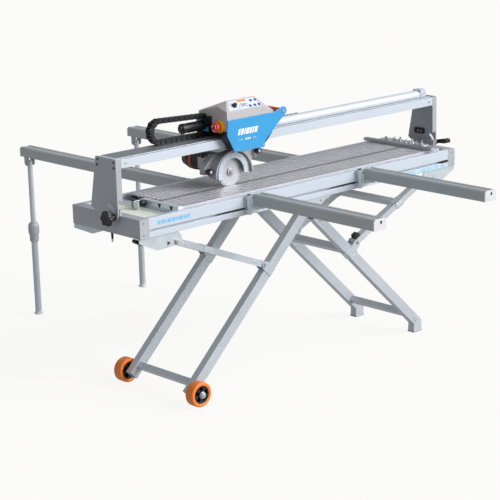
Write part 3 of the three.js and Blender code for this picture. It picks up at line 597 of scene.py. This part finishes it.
def bridge_details():
    (x0, x1), (y0, y1), (_, top) = cad("bridge_beam")
    # A thin dark strip over the beam's top, clear of the rack groove: painted shade that makes the top read
    # darker.
    shade_strip = Shape()
    for strip in ((y0 + 0.8, y0 + 6.7), (y0 + 23.3, y1 - 0.8)):
        shade_strip.box((x0 + 20, x1 - 20), strip, (top - 0.1, top + 0.25))
    shade_strip.make("beam_top_shade_strip", "bridge", "shade")
    for side, sign in SIDES:
        face = sign * COLUMN_OUT
        dark, light = Shape(), Shape()
        screws(dark, "x", ((16, 924), (20, 904), (-74, 922), (-74, 902)), 4.2, face, face + sign * 2.6)
        dark.make(f"column_screws_{side}", "bridge", "black_metal", 0.2)
        screw(light, "x", (-78, 822), 3.6, face, face + sign * 2.2)
        screw(light, "x", PIVOT, 9, face, face + sign * 5, hexagon=True)
        light.make(f"column_bolts_{side}", "bridge", "steel", 0.2)
        heads = Shape()
        screw(heads, "y", (sign * 790, 915), 4, -85, -87.4)
        heads.make(f"beam_screw_{side}", "bridge", "steel", 0.2)
    scale = Shape()
    along = Vector((0, -45, -26)).normalized()
    across = Vector((0, -along.z, along.y)) * -1
    scale_at, spacing = Vector((-835.1, -28, 762)), 4.2
    for k in range(4):
        line = Shape().box((0, 48 - 4 * k), (-0.6, 0.6), (-0.3, 0.3))
        scale.add(line, frame_of(scale_at + across * spacing * k, along, (1, 0, 0)))
    scale.make("tilt_scale", "bridge", "mark_white")
    # the right column's inner face: a stop clip, its screws and a nut
    clip_face = 822
    Shape().slab("x", (-26, 27), (772, 795), 6, clip_face, COLUMN_IN).make(
        "stop_clip", "bridge", "black", 1.2)
    pins = Shape()
    screws(pins, "x", ((-12, 783), (4, 783)), 4, clip_face, 819.5)
    screw(pins, "x", (-70, 822), 6, COLUMN_IN, 824, hexagon=True)
    screw(pins, "x", (0, 880), 4, COLUMN_IN, 826.6)
    pins.make("inner_screws", "bridge", "steel", 0.2)


def tilt_knob():
    x0, x1, centre, r = turned("tilt_knob", "x")
    star = Shape().lathe("x", centre, [
        (x0 + 22, r * 0.80), (x0 + 20, r * 0.94), (x0 + 16, r), (x0 + 7, r), (x0 + 3, r * 0.96),
        (x0 + 1, r * 0.86), (x0 + 2.5, r * 0.45), (x0 + 2.5, r * 0.40)], steps=96, lobes=6, depth=5.5)
    star.lathe("x", centre, [(x0 + 21, 15), (x0 + 30, 13), (-835.4, 13)])
    star.make("star_knob", "tilt_knob", "black", 0, replaces="tilt_knob")
    Shape().lathe("x", centre, [(x0 + 2, 7), (x0 + 0.8, 6), (x0 + 0.4, 4)]).make(
        "star_knob_cap", "tilt_knob", "black_metal")
    Shape().lathe("x", centre, [(-837, 5), (x1, 5)]).make("tilt_bolt", "tilt_knob", "steel")


def feed_rack():
    """Straight teeth of module one."""
    (x0, x1), (y0, y1), (z0, z1) = cad("feed_rack")
    pitch = math.pi
    tooth = 2.1
    count = int((x1 - x0 - 4) / pitch)
    start = middle((x0, x1)) - count * pitch / 2
    outline = [(x0, z0), (x1, z0), (x1, z1 - tooth)]
    for k in reversed(range(count)):
        at = start + k * pitch
        outline += [(at + 0.80 * pitch, z1 - tooth), (at + 0.62 * pitch, z1), (at + 0.38 * pitch, z1),
                    (at + 0.20 * pitch, z1 - tooth)]
    outline.append((x0, z1 - tooth))
    Shape().prism("y", outline, y0, y1).make("rack_teeth", "bridge", "steel", replaces="feed_rack")


# ---- drag chain
CHAIN_PITCH = 12.5


def drag_chain():
    """Links along the lower run, the bend and the upper run."""
    (x0, x1), (y0, y1), (z0, z1) = cad("drag_chain")
    height = 17
    radius = (z1 - z0 - height) / 2
    bend_x = x0 + radius + height / 2
    low, mid_z, y_mid = z0 + height / 2, middle((z0, z1)), middle((y0, y1))
    upper_end = -345
    top_z, end_z = z1 - height / 2, 1009.5
    lower = x1 - bend_x
    turn = math.pi * radius
    fall = Vector((upper_end - bend_x, 0, end_z - top_z))
    total = lower + turn + fall.length

    def on_path(s):
        if s < lower:
            return Vector((x1 - s, y_mid, low)), Vector((-1, 0, 0))
        if s < lower + turn:
            angle = (s - lower) / radius
            return (Vector((bend_x - radius * math.sin(angle), y_mid, mid_z - radius * math.cos(angle))),
                    Vector((-math.cos(angle), 0, math.sin(angle))))
        return Vector((bend_x, y_mid, top_z)) + fall.normalized() * (s - lower - turn), fall.normalized()

    def link(odd):
        shape = Shape()
        half, reach = height / 2 - 0.3, CHAIN_PITCH * 0.68
        side = rounded((-reach, reach), (-half, half), 6, 3)
        width = (y1 - y0) / 2 - (2.6 if odd else 0)
        for sign in (-1, 1):
            plate = sorted((sign * width, sign * (width - 2.4)))
            shape.prism("y", side, *plate)
            shape.lathe("y", (reach - 6, 0), [(sign * width, 3), (sign * (width + 0.4), 2.6)], steps=12)
        for edge in (-half, half):
            bar = sorted((edge, edge - math.copysign(2.2, edge)))
            shape.box((-CHAIN_PITCH * 0.3, CHAIN_PITCH * 0.3), (-width + 1, width - 1), bar)
        return shape

    kinds = [link(False), link(True)]
    count = round(total / CHAIN_PITCH)
    runs = {"lower": Shape(), "bend": Shape(), "upper": Shape()}
    for k in range(count):
        s = (k + 0.5) * total / count
        where, along = on_path(s)
        run = "lower" if s < lower else "bend" if s < lower + turn else "upper"
        up = Vector((0, 1, 0)).cross(along) * -1
        runs[run].add(kinds[k % 2], frame_of(where, along, up))
    made = {name: shape.make(f"chain_{name}", None, "black") for name, shape in runs.items()}
    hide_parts("drag_chain")

    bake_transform(made["lower"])
    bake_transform(made["upper"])
    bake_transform(made["bend"])
    foot = Shape().box((x1 - 26, x1 + 6), (y0 + 1, y1 - 1), (932.2, 936)).box(
        (x1 - 14, x1 + 6), (y0 + 4, y1 - 4), (932.2, 948))
    foot.make("chain_anchor", "bridge", "black", 0.6)
    head = Shape().box((upper_end - 14, upper_end + 12), (y0 + 1, y1 - 1), (end_z + 5.5, end_z + 9)).box(
        (upper_end - 4, upper_end + 12), (y0 + 3, y1 - 3), (end_z - 6.5, end_z + 8.5))
    head.make("chain_head", "carriage", "black", 0.6)


# ---- carriage details
PANEL_LOW = Vector((0, -120, 1034))
PANEL_TOP = Vector((0, -79, 1069))
PANEL_UP = (PANEL_TOP - PANEL_LOW).normalized()
PANEL = frame_of(PANEL_LOW, (1, 0, 0), Vector((1, 0, 0)).cross(PANEL_UP))
BUTTON_SPOTS = ((-200, 36), (-178, 36), (-218, 12), (-196, 12), (-175, 12))
DIAL_SPOT = (-290, 24)


def control_panel():
    """The panel lies in local X (along the machine) and Y (up the slope), with Z outwards."""
    slope = (PANEL_TOP - PANEL_LOW).length

    def laid(shape):
        return Shape().add(shape, PANEL)

    foil = Shape().prism("z", [(-328, 5), (-173, 5), (-180, slope - 6), (-302, slope - 6)], -0.2, 0.5)
    laid(foil).make("panel_foil", "carriage", "panel", 0.2)
    window = Shape().slab("z", (-264, -222), (38, 47), 2, 0.4, 1.0)
    laid(window).make("panel_window", "carriage", "amber", 0.2)
    prints = Shape()
    for x in (-256, -248, -240):
        prints.box((x, x + 3), (14, 30), (0.4, 0.75))
    for x, y in ((-264, 22), (-230, 24), (-230, 14), (-270, 12)):
        prints.lathe("z", (x, y), [(0.4, 2.3), (0.8, 2.3)], steps=16)
    for at in arc(DIAL_SPOT, 15, 225, -45, 10):
        prints.lathe("z", at, [(0.4, 0.8), (0.7, 0.8)], steps=8)
    laid(prints).make("panel_prints", "carriage", "black")
    rings = Shape()
    for at in BUTTON_SPOTS:
        rings.lathe("z", at, [(0.3, 6.1), (0.3, 8.2), (1.2, 8.0), (1.6, 7.2), (1.2, 6.1)], True, 24)
    laid(rings).make("button_bezels", "carriage", "panel")
    for k, at in enumerate(BUTTON_SPOTS, 1):
        cap = Shape().lathe("z", at, [(-4, 5.6), (1.8, 5.6), (2.8, 4.8), (3.1, 2.5)], steps=24)
        laid(cap).make(f"button_cap_{k}", f"button_{k}", "button", replaces=f"button_{k}")
    knob = Shape().lathe("z", DIAL_SPOT, [(0.6, 10), (2.5, 10), (3.2, 9)])
    knob.lathe("z", DIAL_SPOT, [(3, 8.2), (11, 7.4), (13.4, 6.8), (14, 5.5)], steps=60, lobes=12, depth=0.9)
    laid(knob).make("dial", "speed_knob", "black", replaces="speed_knob")
    x, y = DIAL_SPOT
    pointer = Shape().box((x - 0.6, x + 0.6), (y + 1, y + 6.4), (13.8, 14.25))
    laid(pointer).make("dial_pointer", "speed_knob", "mark_white")


def emergency_stop():
    x0, x1, centre, _ = turned("estop_button", "x")
    wall = -342
    collar = Shape().lathe("x", centre, [(wall, 11), (wall, 24), (wall - 7, 23.4), (wall - 9, 21.5),
                                         (wall - 9, 11)], True)
    collar.make("stop_collar", "carriage", "yellow", 0.3)
    head = Shape().lathe("x", centre, [
        (x1, 8), (x0 + 20, 8), (x0 + 18, 16), (x0 + 14, 19.4), (x0 + 9, 20), (x0 + 5, 18.6),
        (x0 + 2, 14.5), (x0 + 0.4, 8), (x0, 3)])
    head.make("stop_head", "estop_button", "stop", replaces="estop_button")
    arrows = Shape()
    for k in range(3):
        band = arc(centre, 13, 120 * k, 120 * k + 70, 8) + arc(centre, 10, 120 * k + 70, 120 * k, 8)
        arrows.prism("x", band, x0 + 2.4, x0 + 0.9)
    arrows.make("stop_arrows", "estop_button", "mark_white")


PLATE_FRONT, PLATE_BACK = -124, 48
LOBE = (-64, 1003)


def plate_details():
    bolts = Shape()
    low_screws = ((-298, 890), (-232, 889), (-170, 888))
    screw(bolts, "y", LOBE, 6.5, PLATE_FRONT, PLATE_FRONT - 3.5)
    screws(bolts, "y", low_screws, 3, PLATE_FRONT, PLATE_FRONT - 1.8)
    screws(bolts, "y", ((-300, 890), (-170, 888)), 3, PLATE_BACK, PLATE_BACK + 1.8)
    screw(bolts, "y", LOBE, 6.5, PLATE_BACK, PLATE_BACK + 3.5)
    bolts.make("plate_screws", "carriage", "steel", 0.2)
    face = (PLATE_FRONT - 0.3, PLATE_FRONT + 0.2)
    marks = Shape()
    slanted_bars(marks, -296, (13, 17, 9, 19, 13, 11, 17), 7, (944, 966), face)
    for x in ((-290, -272), (-222, -204)):
        marks.box(x, face, (925.4, 926.6))
    for x in (-258, -248, -238):
        marks.slab("y", (x, x + 5), (923, 930), 1.2, *face)
    marks.make("plate_marks", "carriage", "mark_white")
    Shape().box((-341.9, -113), (-120.6, -120), (1003.6, 1004.8)).make(
        "hood_seam", "carriage", "black")


def handle_bar():
    y0, y1, centre, r = turned("handle_bar", "y")
    profile = [(y0, r * 0.7), (y0 + 1, r)]
    for k in range(9):
        y = y0 + 14 + k * 15
        profile += [(y, r), (y + 1.2, r - 0.9), (y + 3, r - 0.9), (y + 4.2, r)]
    profile += [(y1 - 1, r), (y1, r * 0.7)]
    Shape().lathe("y", centre, profile).make("grip", "carriage", "red", replaces="handle_bar")


def feed_motor():
    _, (y0, y1), (z0, z1) = cad("feed_motor")
    x0, x1, centre, r = turned("feed_motor", "x")
    profile = [(x1, r * 0.92), (x1 - 6, r * 0.92), (x1 - 7, r), (x1 - 22, r), (x1 - 23, r * 0.9)]
    for k in range(6):
        x = x1 - 27 - k * 9
        profile += [(x, r * 0.9), (x - 1, r * 0.99), (x - 5, r * 0.99), (x - 6, r * 0.9)]
    profile += [(x0 + 24, r * 0.9), (x0 + 23, r), (x0 + 8, r), (x0 + 5, r * 0.86), (x0 + 4.5, r * 0.6),
                (x0, r * 0.55)]
    Shape().lathe("x", centre, profile).make(
        "feed_motor_case", "carriage", "black", 0.3, replaces="feed_motor")
    bolts = Shape()
    screws(bolts, "x", arc(centre, r * 0.68, 45, 315, 3), 1.8, x0 + 5, x0 + 3)
    bolts.make("feed_motor_screws", "carriage", "steel", 0.1)
    Shape().slab("x", (y0 - 8, y1 + 6), (z0 - 3, z1 + 8), 5, x1 + 0.2, x1 + 3.6).make(
        "motor_bracket", "carriage", "blue", 0.5)


def feed_pinion():
    y0, y1, centre, r = turned("feed_pinion", "y")
    outline = []
    teeth = 24
    for k in range(teeth):
        for share, radius in ((0.0, r - 2.2), (0.25, r - 2.2), (0.4, r), (0.6, r), (0.85, r - 2.2)):
            turn = 2 * math.pi * (k + share) / teeth
            outline.append((centre[0] + radius * math.cos(turn), centre[1] + radius * math.sin(turn)))
    gear = Shape().prism("y", outline, -77, -63)
    gear.lathe("y", centre, [(y0, 4), (y1, 4)], steps=20)
    gear.lathe("y", centre, [(-63.5, 8), (-58, 8)], steps=24)
    gear.make("pinion_gear", "feed_pinion", "steel", replaces="feed_pinion")


# ---- saw head
BLADE_CENTRE = (-262, 791)


def saw_blade():
    y0, y1, centre, r = turned("saw_blade", "y", 1)
    mid, half = middle((y0, y1)), (y1 - y0) / 2
    bore = 8.3
    front, back = mid - half * 0.7, mid + half * 0.7
    core = Shape().lathe("y", centre, [(front, bore), (front, r - 7), (back, r - 7), (back, bore)],
                         True, 72)
    core.make("blade_core", "blade", "steel", replaces="saw_blade")
    rim = Shape()
    segments = 12
    for k in range(segments):
        start = 360 / segments * k + 2
        end = 360 / segments * (k + 1) - 2
        rim.prism("y", arc(centre, r, start, end, 8) + arc(centre, r - 7.5, end, start, 8),
                  mid - half, mid + half)
    rim.make("blade_rim", "blade", "grit", 0.15)


def blade_flange():
    _, _, centre, _ = turned("blade_flange", "y")
    hub = Shape().lathe("y", centre, [(-37.6, 16), (-40.5, 16), (-42, 13.5), (-42.2, 9)])
    hub.lathe("y", centre, [(-41, 8.5), (-46, 8.5), (-47, 7.4)], steps=6)
    hub.lathe("y", centre, [(-44, 4), (-48.5, 4), (-49, 3)], steps=20)
    hub.lathe("y", centre, [(-34.4, 18), (-29, 18), (-28, 14), (-20.4, 8)])
    hub.make("blade_hub", "blade", "casing", 0.2, replaces="blade_flange")


def saw_motor():
    y0, y1, centre, r = turned("saw_motor", "y")
    body = Shape().lathe("y", centre, [(y0, r * 0.94), (y0 + 3, r), (y0 + 22, r), (y0 + 26, r * 0.93),
                                       (y0 + 30, r * 0.93)])
    body.lathe("y", centre, [(y0 + 28, r * 0.97), (y0 + 128, r * 0.97), (y0 + 130, r * 0.9)],
               steps=144, lobes=24, depth=2.6)
    body.lathe("y", centre, [(y0 + 139, r * 0.96), (y0 + 156, r * 0.96), (y0 + 168, r * 0.86),
                             (y0 + 178, r * 0.76), (y1 - 4, r * 0.72), (y1, r * 0.60)])
    body.make("motor_body", "saw_head", "black", 0.5, replaces="saw_motor")
    trim = Shape().lathe("y", centre, [(y0 + 129, r * 0.99), (y0 + 130, r), (y0 + 138, r),
                                       (y0 + 140, r * 0.98)])
    trim.lathe("y", centre, [(y0 + 170, r * 0.855), (y0 + 173, r * 0.825)])
    trim.make("motor_trim", "saw_head", "red", 0.3)
    vents = Shape()
    for k in range(16):
        slot = Shape().slab("z", (-2, 2), (-8, 8), 1.9, r * 0.955, r * 0.972, 3)
        vents.add(slot, placed((centre[0], y0 + 148, centre[1]), 360 / 16 * k, "Y"))
    vents.make("motor_vents", "saw_head", "black_metal")


def saw_details():
    """Housing screws, a second rim line, the guard's lip and the two depth clamp knobs."""
    rim_centre = (-257, 782)
    face = -20
    bolts = Shape()
    screws(bolts, "y", ((-363, 815), (-345, 786), (-150, 806), (-118, 826), (-180, 852), (-300, 852)),
           4, face, face - 3.5)
    screws(bolts, "y", ((-350, 790), (-162, 800)), 5, face, face - 7, hexagon=True)
    bolts.make("housing_screws", "saw_head", "steel", 0.2)
    lip = Shape()
    outer = arc(rim_centre, 92.5, 4, 176, 40)
    inner = arc(rim_centre, 90.5, 176, 4, 40)
    lip.prism("y", outer + inner, -58.6, -52)
    lip.make("housing_lip", "saw_head", "rail", 0.4)
    edge = Shape().prism("y", arc(BLADE_CENTRE, 75.6, -8, 196, 44) + arc(BLADE_CENTRE, 73, 196, -8, 44),
                         -57.4, -54)
    edge.make("guard_lip", "saw_head", "zinc", 0.3)
    rivets = Shape()
    for turn in (20, 60, 100, 140, 172):
        at, _ = arc(BLADE_CENTRE, 64, turn, turn, 1)
        screw(rivets, "y", at, 2.4, -56, -57.4)
    rivets.make("guard_rivets", "saw_head", "steel")
    for side, _ in SIDES:
        body = f"depth_knob_{side}"
        y0, y1, centre, r = turned(body, "y")
        knob = Shape().lathe("y", centre, [(y0 + 18, r * 0.8), (y0 + 17, r), (y0 + 3, r), (y0 + 1, r * 0.9),
                                           (y0 + 2, r * 0.55)], steps=96, lobes=16, depth=1.2)
        knob.lathe("y", centre, [(y0 + 16, 6.5), (y1, 6)], steps=24)
        knob.make(f"depth_knob_grip_{side}", body, "black", replaces=body)
        Shape().lathe("y", centre, [(y0 + 2.6, 6), (y0 + 0.9, 5.6), (y0 + 0.4, 4.4)]).make(
            f"depth_knob_disc_{side}", body, "steel")


# ---- wheels and stand
def wheels():
    for side in ("front", "rear"):
        body = f"wheel_{side}"
        y0, y1, centre, r = turned(body, "y", 1)
        seat = r * 0.72
        tyre = Shape().lathe("y", centre, [
            (y0 + 2, seat), (y0 + 0.4, seat + 2), (y0, r - 6), (y0 + 1.2, r - 2.4), (y0 + 4, r - 0.5),
            (y0 + 8, r), (y1 - 8, r), (y1 - 4, r - 0.5), (y1 - 1.2, r - 2.4), (y1, r - 6),
            (y1 - 0.4, seat + 2), (y1 - 2, seat)], True, 72)
        tyre.make(f"tyre_{side}", body, "tyre", replaces=body)
        hub = Shape().lathe("y", centre, [
            (y0 + 2.5, seat), (y0 + 2.5, seat - 5), (y0 + 9, seat - 7), (y1 - 9, seat - 7),
            (y1 - 2.5, seat - 5), (y1 - 2.5, seat)], True, 60)
        hub.lathe("y", centre, [(y0, 6.4), (y0, 11.5), (y0 + 3, 13.5), (y1 - 3, 13.5), (y1, 11.5),
                                (y1, 6.4)], True)
        mid = middle((y0, y1))
        hub.lathe("y", centre, [(mid - 2, 12), (mid - 2, seat - 6), (mid + 2, seat - 6), (mid + 2, 12)],
                  True)
        spoke = Shape().prism("y", [(11, -5), (seat - 5, -7.5), (seat - 5, 7.5), (11, 5)],
                              y0 + 4 - mid, y1 - 4 - mid)
        for k in range(5):
            hub.add(spoke, placed((centre[0], mid, centre[1]), 72 * k + 18, "Y"))
        hub.make(f"wheel_hub_{side}", body, "black", 0.8)
        out = 1 if side == "rear" else -1
        bolt = Shape()
        face = out * 230.5
        bolt.lathe("y", centre, [(face, 13.5), (face + out * 1.6, 13.5)], steps=28)
        bolt.lathe("y", centre, [(face, 11.8), (face + out * 7, 11.8), (face + out * 8.5, 10)], steps=6)
        bolt.lathe("y", centre, [(face + out * 5, 5), (face + out * 11, 5), (face + out * 12, 4)])
        bolt.make(f"axle_bolt_{side}", "wheel_legs", "steel", 0.3)


def leg_axes(foot):
    """Along the leg from the hip, and outwards across it."""
    along = (Vector(foot) - HIP).normalized()
    out = Vector((-along.z, 0, along.x)) * math.copysign(1, foot[0])
    return along, out


def collar(shape, at, along, out, y, length, width):
    """A bracket wrapped round a tube: four thin walls and two rivets on each side."""
    wall = 2
    block = Shape()
    half, tall = length / 2, width / 2 + wall
    outer = sorted((y[0] - wall, y[1] + wall))
    for low, high in ((tall - wall, tall), (-tall, -tall + wall)):
        block.box((-half, half), outer, (low, high))
    for low, high in ((outer[0], outer[0] + wall), (outer[1] - wall, outer[1])):
        block.box((-half, half), (low, high), (-tall, tall))
    for s in (-half * 0.6, half * 0.6):
        for face, sign in ((outer[0], -1), (outer[1], 1)):
            screw(block, "y", (s, -4), 3.2, face, face + sign * 1.6)
    up = along.cross(Vector((0, 1, 0)))
    shape.add(block, frame_of(at, along, up if up.dot(out) > 0 else -up))


TUBE = 30  # the leg tubes' width across the machine


def leg_details():
    for name, foot, inside, width, stay_at, off, start in (
        ("wheel_legs", (-601, 0, 47), 150, 40, 289, 34, -20),
        ("foot_legs", (604, 0, 50), 149, 38, 320, 50, 56),
    ):
        along, out = leg_axes(foot)
        brackets, nuts, caps = Shape(), Shape(), Shape()
        joint = HIP + along * stay_at + out * off
        for sign in (-1, 1):
            y = sorted((sign * inside, sign * (inside + TUBE)))
            if name == "foot_legs" or sign < 0:
                collar(brackets, HIP + along * stay_at, along, out, y, 50, width)
            for face, way in ((y[0] - 2.6, -1), (y[1] + 2.6, 1)):
                screw(nuts, "y", (joint.x, joint.z), 6.5, face, face + way * 6, hexagon=True)
            face = sign * (inside + TUBE)
            for s in ((-8, 8) if name == "wheel_legs" else (90, 818, 834)):
                screw(nuts, "y", tuple((HIP + along * s).xz), 4.5, face, face + sign * 2.2)
            end = HIP + along * start
            caps.add(Shape().slab("x", (y[0] + 1, y[1] - 1), (-width / 2 + 1, width / 2 - 1), 3, -3, 4),
                     frame_of(end, along, out))
        brackets.make(f"{name}_collars", name, "zinc", 0.6)
        nuts.make(f"{name}_bolts", name, "steel", 0.3)
        caps.make(f"{name}_caps", name, "black", 0.6)


def stay_details():
    for side, sign, inside in (("left", -1, 150), ("right", 1, 149)):
        (x0, x1), _, (z0, _) = cad(f"{side}_stay")
        hinge = Vector((sign * STAY_HINGE[0], 0, STAY_HINGE[1]))
        foot = Vector(((x1 if sign < 0 else x0) + sign * 12, 0, z0 + 12))
        along = (foot - hinge).normalized()
        out = Vector((-along.z, 0, along.x))
        rivets, knobs = Shape(), Shape()
        for way in (-1, 1):
            face = way * (inside + 29)
            for s in (40, 56, 158, 172, 400, 416):
                if s < (foot - hinge).length:
                    at = hinge + along * s
                    screw(rivets, "y", (at.x, at.z), 3.6, face, face + way * 2.2)
            sleeve_at = hinge + along * 165
            y = sorted((way * (inside + 1), way * (inside + 29)))
            collar(rivets, sleeve_at, along, out, y, 44, 24)
            if sign > 0:
                block = Shape().slab("y", (-12, 12), (10, 28), 4, -12, 12)
                knobs.add(block, frame_of(foot - along * 14 + Vector((0, way * (inside + 15), 0)),
                                          along * -1, Vector((0, 1, 0)).cross(along * -1) * -1))
        rivets.make(f"{side}_stay_fittings", f"{side}_stay", "zinc", 0.3)
        if sign > 0:
            knobs.make("stay_knobs", f"{side}_stay", "black", 0.4)


def shoes():
    """Rubber soles under the upright feet of the second leg frame."""
    grip = Shape()
    for sign in (-1, 1):
        y = sorted((sign * 146.5, sign * 181.5))
        grip.prism("y", [(586.5, 0), (635.5, 0), (635.5, 4), (634.5, 7), (587.5, 7), (586.5, 4)], *y)
    grip.make("rubber_soles", "foot_legs", "casing", 0.8)


# ---- side arms
ARM_X = 290
ARM_LOW, ARM_TOP = 700, 740


def arm_outline(x, drop):
    """The arm's section: chamfered shoulders and a shallow top channel."""
    right = [(30, ARM_LOW + 1), (30, ARM_TOP - 6), (24, ARM_TOP), (11, ARM_TOP), (11, ARM_TOP - 1.6)]
    left = [(-a, b) for a, b in reversed(right)]
    return [(x + a, b - drop) for a, b in [(-29, ARM_LOW), (29, ARM_LOW), *right, *left]]


def arm_cap(x, far, sign, name, body, drop):
    """A moulded cap with one hole on an arm's far end."""
    inner = far - sign * 5
    cap = Shape().prism("y", [(x + a, b - drop) for a, b in (
        (-30.4, ARM_LOW - 0.4), (30.4, ARM_LOW - 0.4), (30.4, 733), (23, 740.4), (-23, 740.4),
        (-30.4, 733))], *sorted((inner, far)))
    cap.make(f"{name}_cap", body, "cap", 1.0)
    hole = Shape().slab("y", (x, x + 9), (721 - drop, 733 - drop), 4.4,
                        *sorted((far + sign * 0.1, far - sign)))
    hole.make(f"{name}_cap_hole", body, "black")


def arm_scale(x, start, step, count, name, body, drop):
    """Tick marks along an arm's left shoulder."""
    ticks = Shape()
    for k in range(count):
        length = 5 if k % 5 == 0 else 3
        tick = Shape().box((-0.3, 0.3), (-0.5, 0.5), (-length / 2, length / 2))
        ticks.add(tick, placed((x - 27.2, start + step * k, 737.2 - drop), 45, "Y"))
    ticks.make(name, body, "cap")


def front_arms():
    for side, sign in SIDES:
        body = f"front_arm_{side}"
        x, pin_x, pin_y = sign * ARM_X + 4, sign * ARM_X - 34, -206
        far = cad(body)[1][0]
        Shape().prism("y", arm_outline(x, 0), far + 5, -216).make(
            f"front_arm_tube_{side}", body, "arm", 0.7, replaces=body)
        eye = Shape().box((pin_x, x - 28), (-226, -212), (ARM_LOW, 721.5))
        eye.lathe("z", (pin_x, pin_y), [(684.5, 5.3), (684.5, 9), (721.5, 9), (721.5, 5.3)], True)
        eye.make(f"front_arm_eye_{side}", body, "zinc", 0.5)
        arm_cap(x, far, -1, f"front_arm_{side}", body, 0)
        lug = Shape().box((x - 24, x + 2), (-240, -214), (686, 699.6))
        lug.lathe("y", (x - 8, 692), [(-240, 5), (-252, 5), (-253, 4)], steps=24)
        lug.make(f"front_arm_clamp_{side}", body, "zinc", 1)
        Shape().slab("z", (x + 2, x + 34), (-234, -224), 4.5, 688, 694).make(
            f"front_arm_lever_{side}", body, "black", 1)
        pins = Shape()
        pins.lathe("z", (pin_x, pin_y), [(738, 7), (740.5, 7), (741.5, 5.5)], steps=28)
        pins.make(f"arm_pin_head_{side}", f"front_slider_{side}", "black_metal", 0.3)
        strip = Shape().prism("y", [(pin_x - 12, 690.6), (pin_x - 12, 683.4), (pin_x - 150, 686.4),
                                    (pin_x - 150, 687.6)], -190.6, -188)
        strip.make(f"slot_wiper_{side}", f"front_slider_{side}", "black")
        post = Shape()
        screws(post, "y", [(sign * ARM_X + 12, z) for z in (679, 727)], 4, -197, -200)
        post.make(f"arm_bracket_screws_{side}", f"front_slider_{side}", "steel", 0.2)
        arm_scale(x, -252, -10, 57, f"arm_scale_{side}", body, 0)


REAR_DROP = 6
LEG_Y, LEG_HINGE_Z = 1203, 666


def rear_arms():
    for side, sign in SIDES:
        body = f"rear_arm_{side}"
        _, (y0, y1), _ = cad(body)
        x = sign * ARM_X
        tube = Shape().prism("y", arm_outline(x, REAR_DROP), 196, y1 - 5)
        tube.box((x - 30, x + 30), (192.3, 198), (668, ARM_TOP - REAR_DROP))
        ear = [(LEG_Y + a, b) for a, b in (
            (-14, 695), (-14, 662), (-7, 654), (7, 654), (14, 662), (14, 695))]
        for low, high in ((-18, -12.5), (12.5, 18)):
            tube.prism("x", ear, x + low, x + high)
        tube.box((x - 20, x + 20), (y0 + 0.5, 186), (680.5, 693.5))
        tube.box((x - 20, x + 20), (185, 193), (683.5, 690.5))
        tube.make(f"rear_arm_tube_{side}", body, "arm", 0.7, replaces=body)
        arm_cap(x, y1, 1, f"rear_arm_{side}", body, REAR_DROP)
        clamp = Shape()
        screws(clamp, "y", ((x - 20, 676), (x + 20, 676)), 5, 198, 204, hexagon=True)
        clamp.make(f"rear_arm_bolts_{side}", body, "steel", 0.3)
        knob = Shape().lathe("y", (x, 690), [(203, 6), (207, 11), (218, 12), (221, 9)], steps=48,
                             lobes=6, depth=2)
        knob.make(f"rear_arm_knob_{side}", body, "black", 0.4)
        arm_scale(x, 240, 10, 96, f"rear_arm_scale_{side}", body, REAR_DROP)


def rear_legs():
    hinge = (LEG_Y, LEG_HINGE_Z)
    for side, sign in SIDES:
        x = sign * ARM_X
        at = (x, LEG_Y)
        upper = Shape().lathe("z", at, [(200, 11), (672, 11), (675, 9), (676, 6)])
        upper.lathe("x", hinge, [(x - 17.9, 4), (x + 17.9, 4)], steps=20)
        upper.make(f"leg_tube_upper_{side}", f"rear_leg_{side}", "tube", 0.4,
                   replaces=f"rear_leg_upper_{side}")
        bolt = Shape()
        for out in (-1, 1):
            face = x + out * 18
            screw(bolt, "x", hinge, 5.5, face, face + out * 5, hexagon=True)
        bolt.make(f"leg_hinge_bolt_{side}", f"rear_leg_{side}", "steel", 0.3)
        Shape().lathe("z", at, [(6, 11.6), (6, 13.75), (396, 13.75), (396, 11.6)], True).make(
            f"leg_tube_lower_{side}", f"rear_foot_{side}", "tube", 0.3,
            replaces=f"rear_leg_lower_{side}")
        pad = Shape().lathe("z", at, [(0, 17), (1, 18.6), (4, 19), (6, 18), (8, 15), (14, 14.4), (15, 13)])
        pad.make(f"leg_pad_{side}", f"rear_foot_{side}", "cap", 0.2)
        twist = Shape().lathe("z", at, [
            (322, 14.3), (322, 17), (326, 19), (352, 19.5), (358, 22.5), (362, 23.5), (392, 23.5),
            (398, 21), (405, 16), (405, 11.7)], True, 72, lobes=18, depth=0.7)
        twist.make(f"twist_collar_{side}", f"leg_collar_{side}", "casting", 0,
                   replaces=f"leg_collar_{side}")


# ---- run
make_camera()
make_studio()
dress_frame()
end_box_bolts()
rail_prints()
table_details()
fence_details()
stand_details()
bridge_details()
tilt_knob()
feed_rack()
drag_chain()
control_panel()
emergency_stop()
plate_details()
handle_bar()
feed_motor()
feed_pinion()
saw_blade()
blade_flange()
saw_motor()
saw_details()
wheels()
leg_details()
stay_details()
shoes()
front_arms()
rear_arms()
rear_legs()
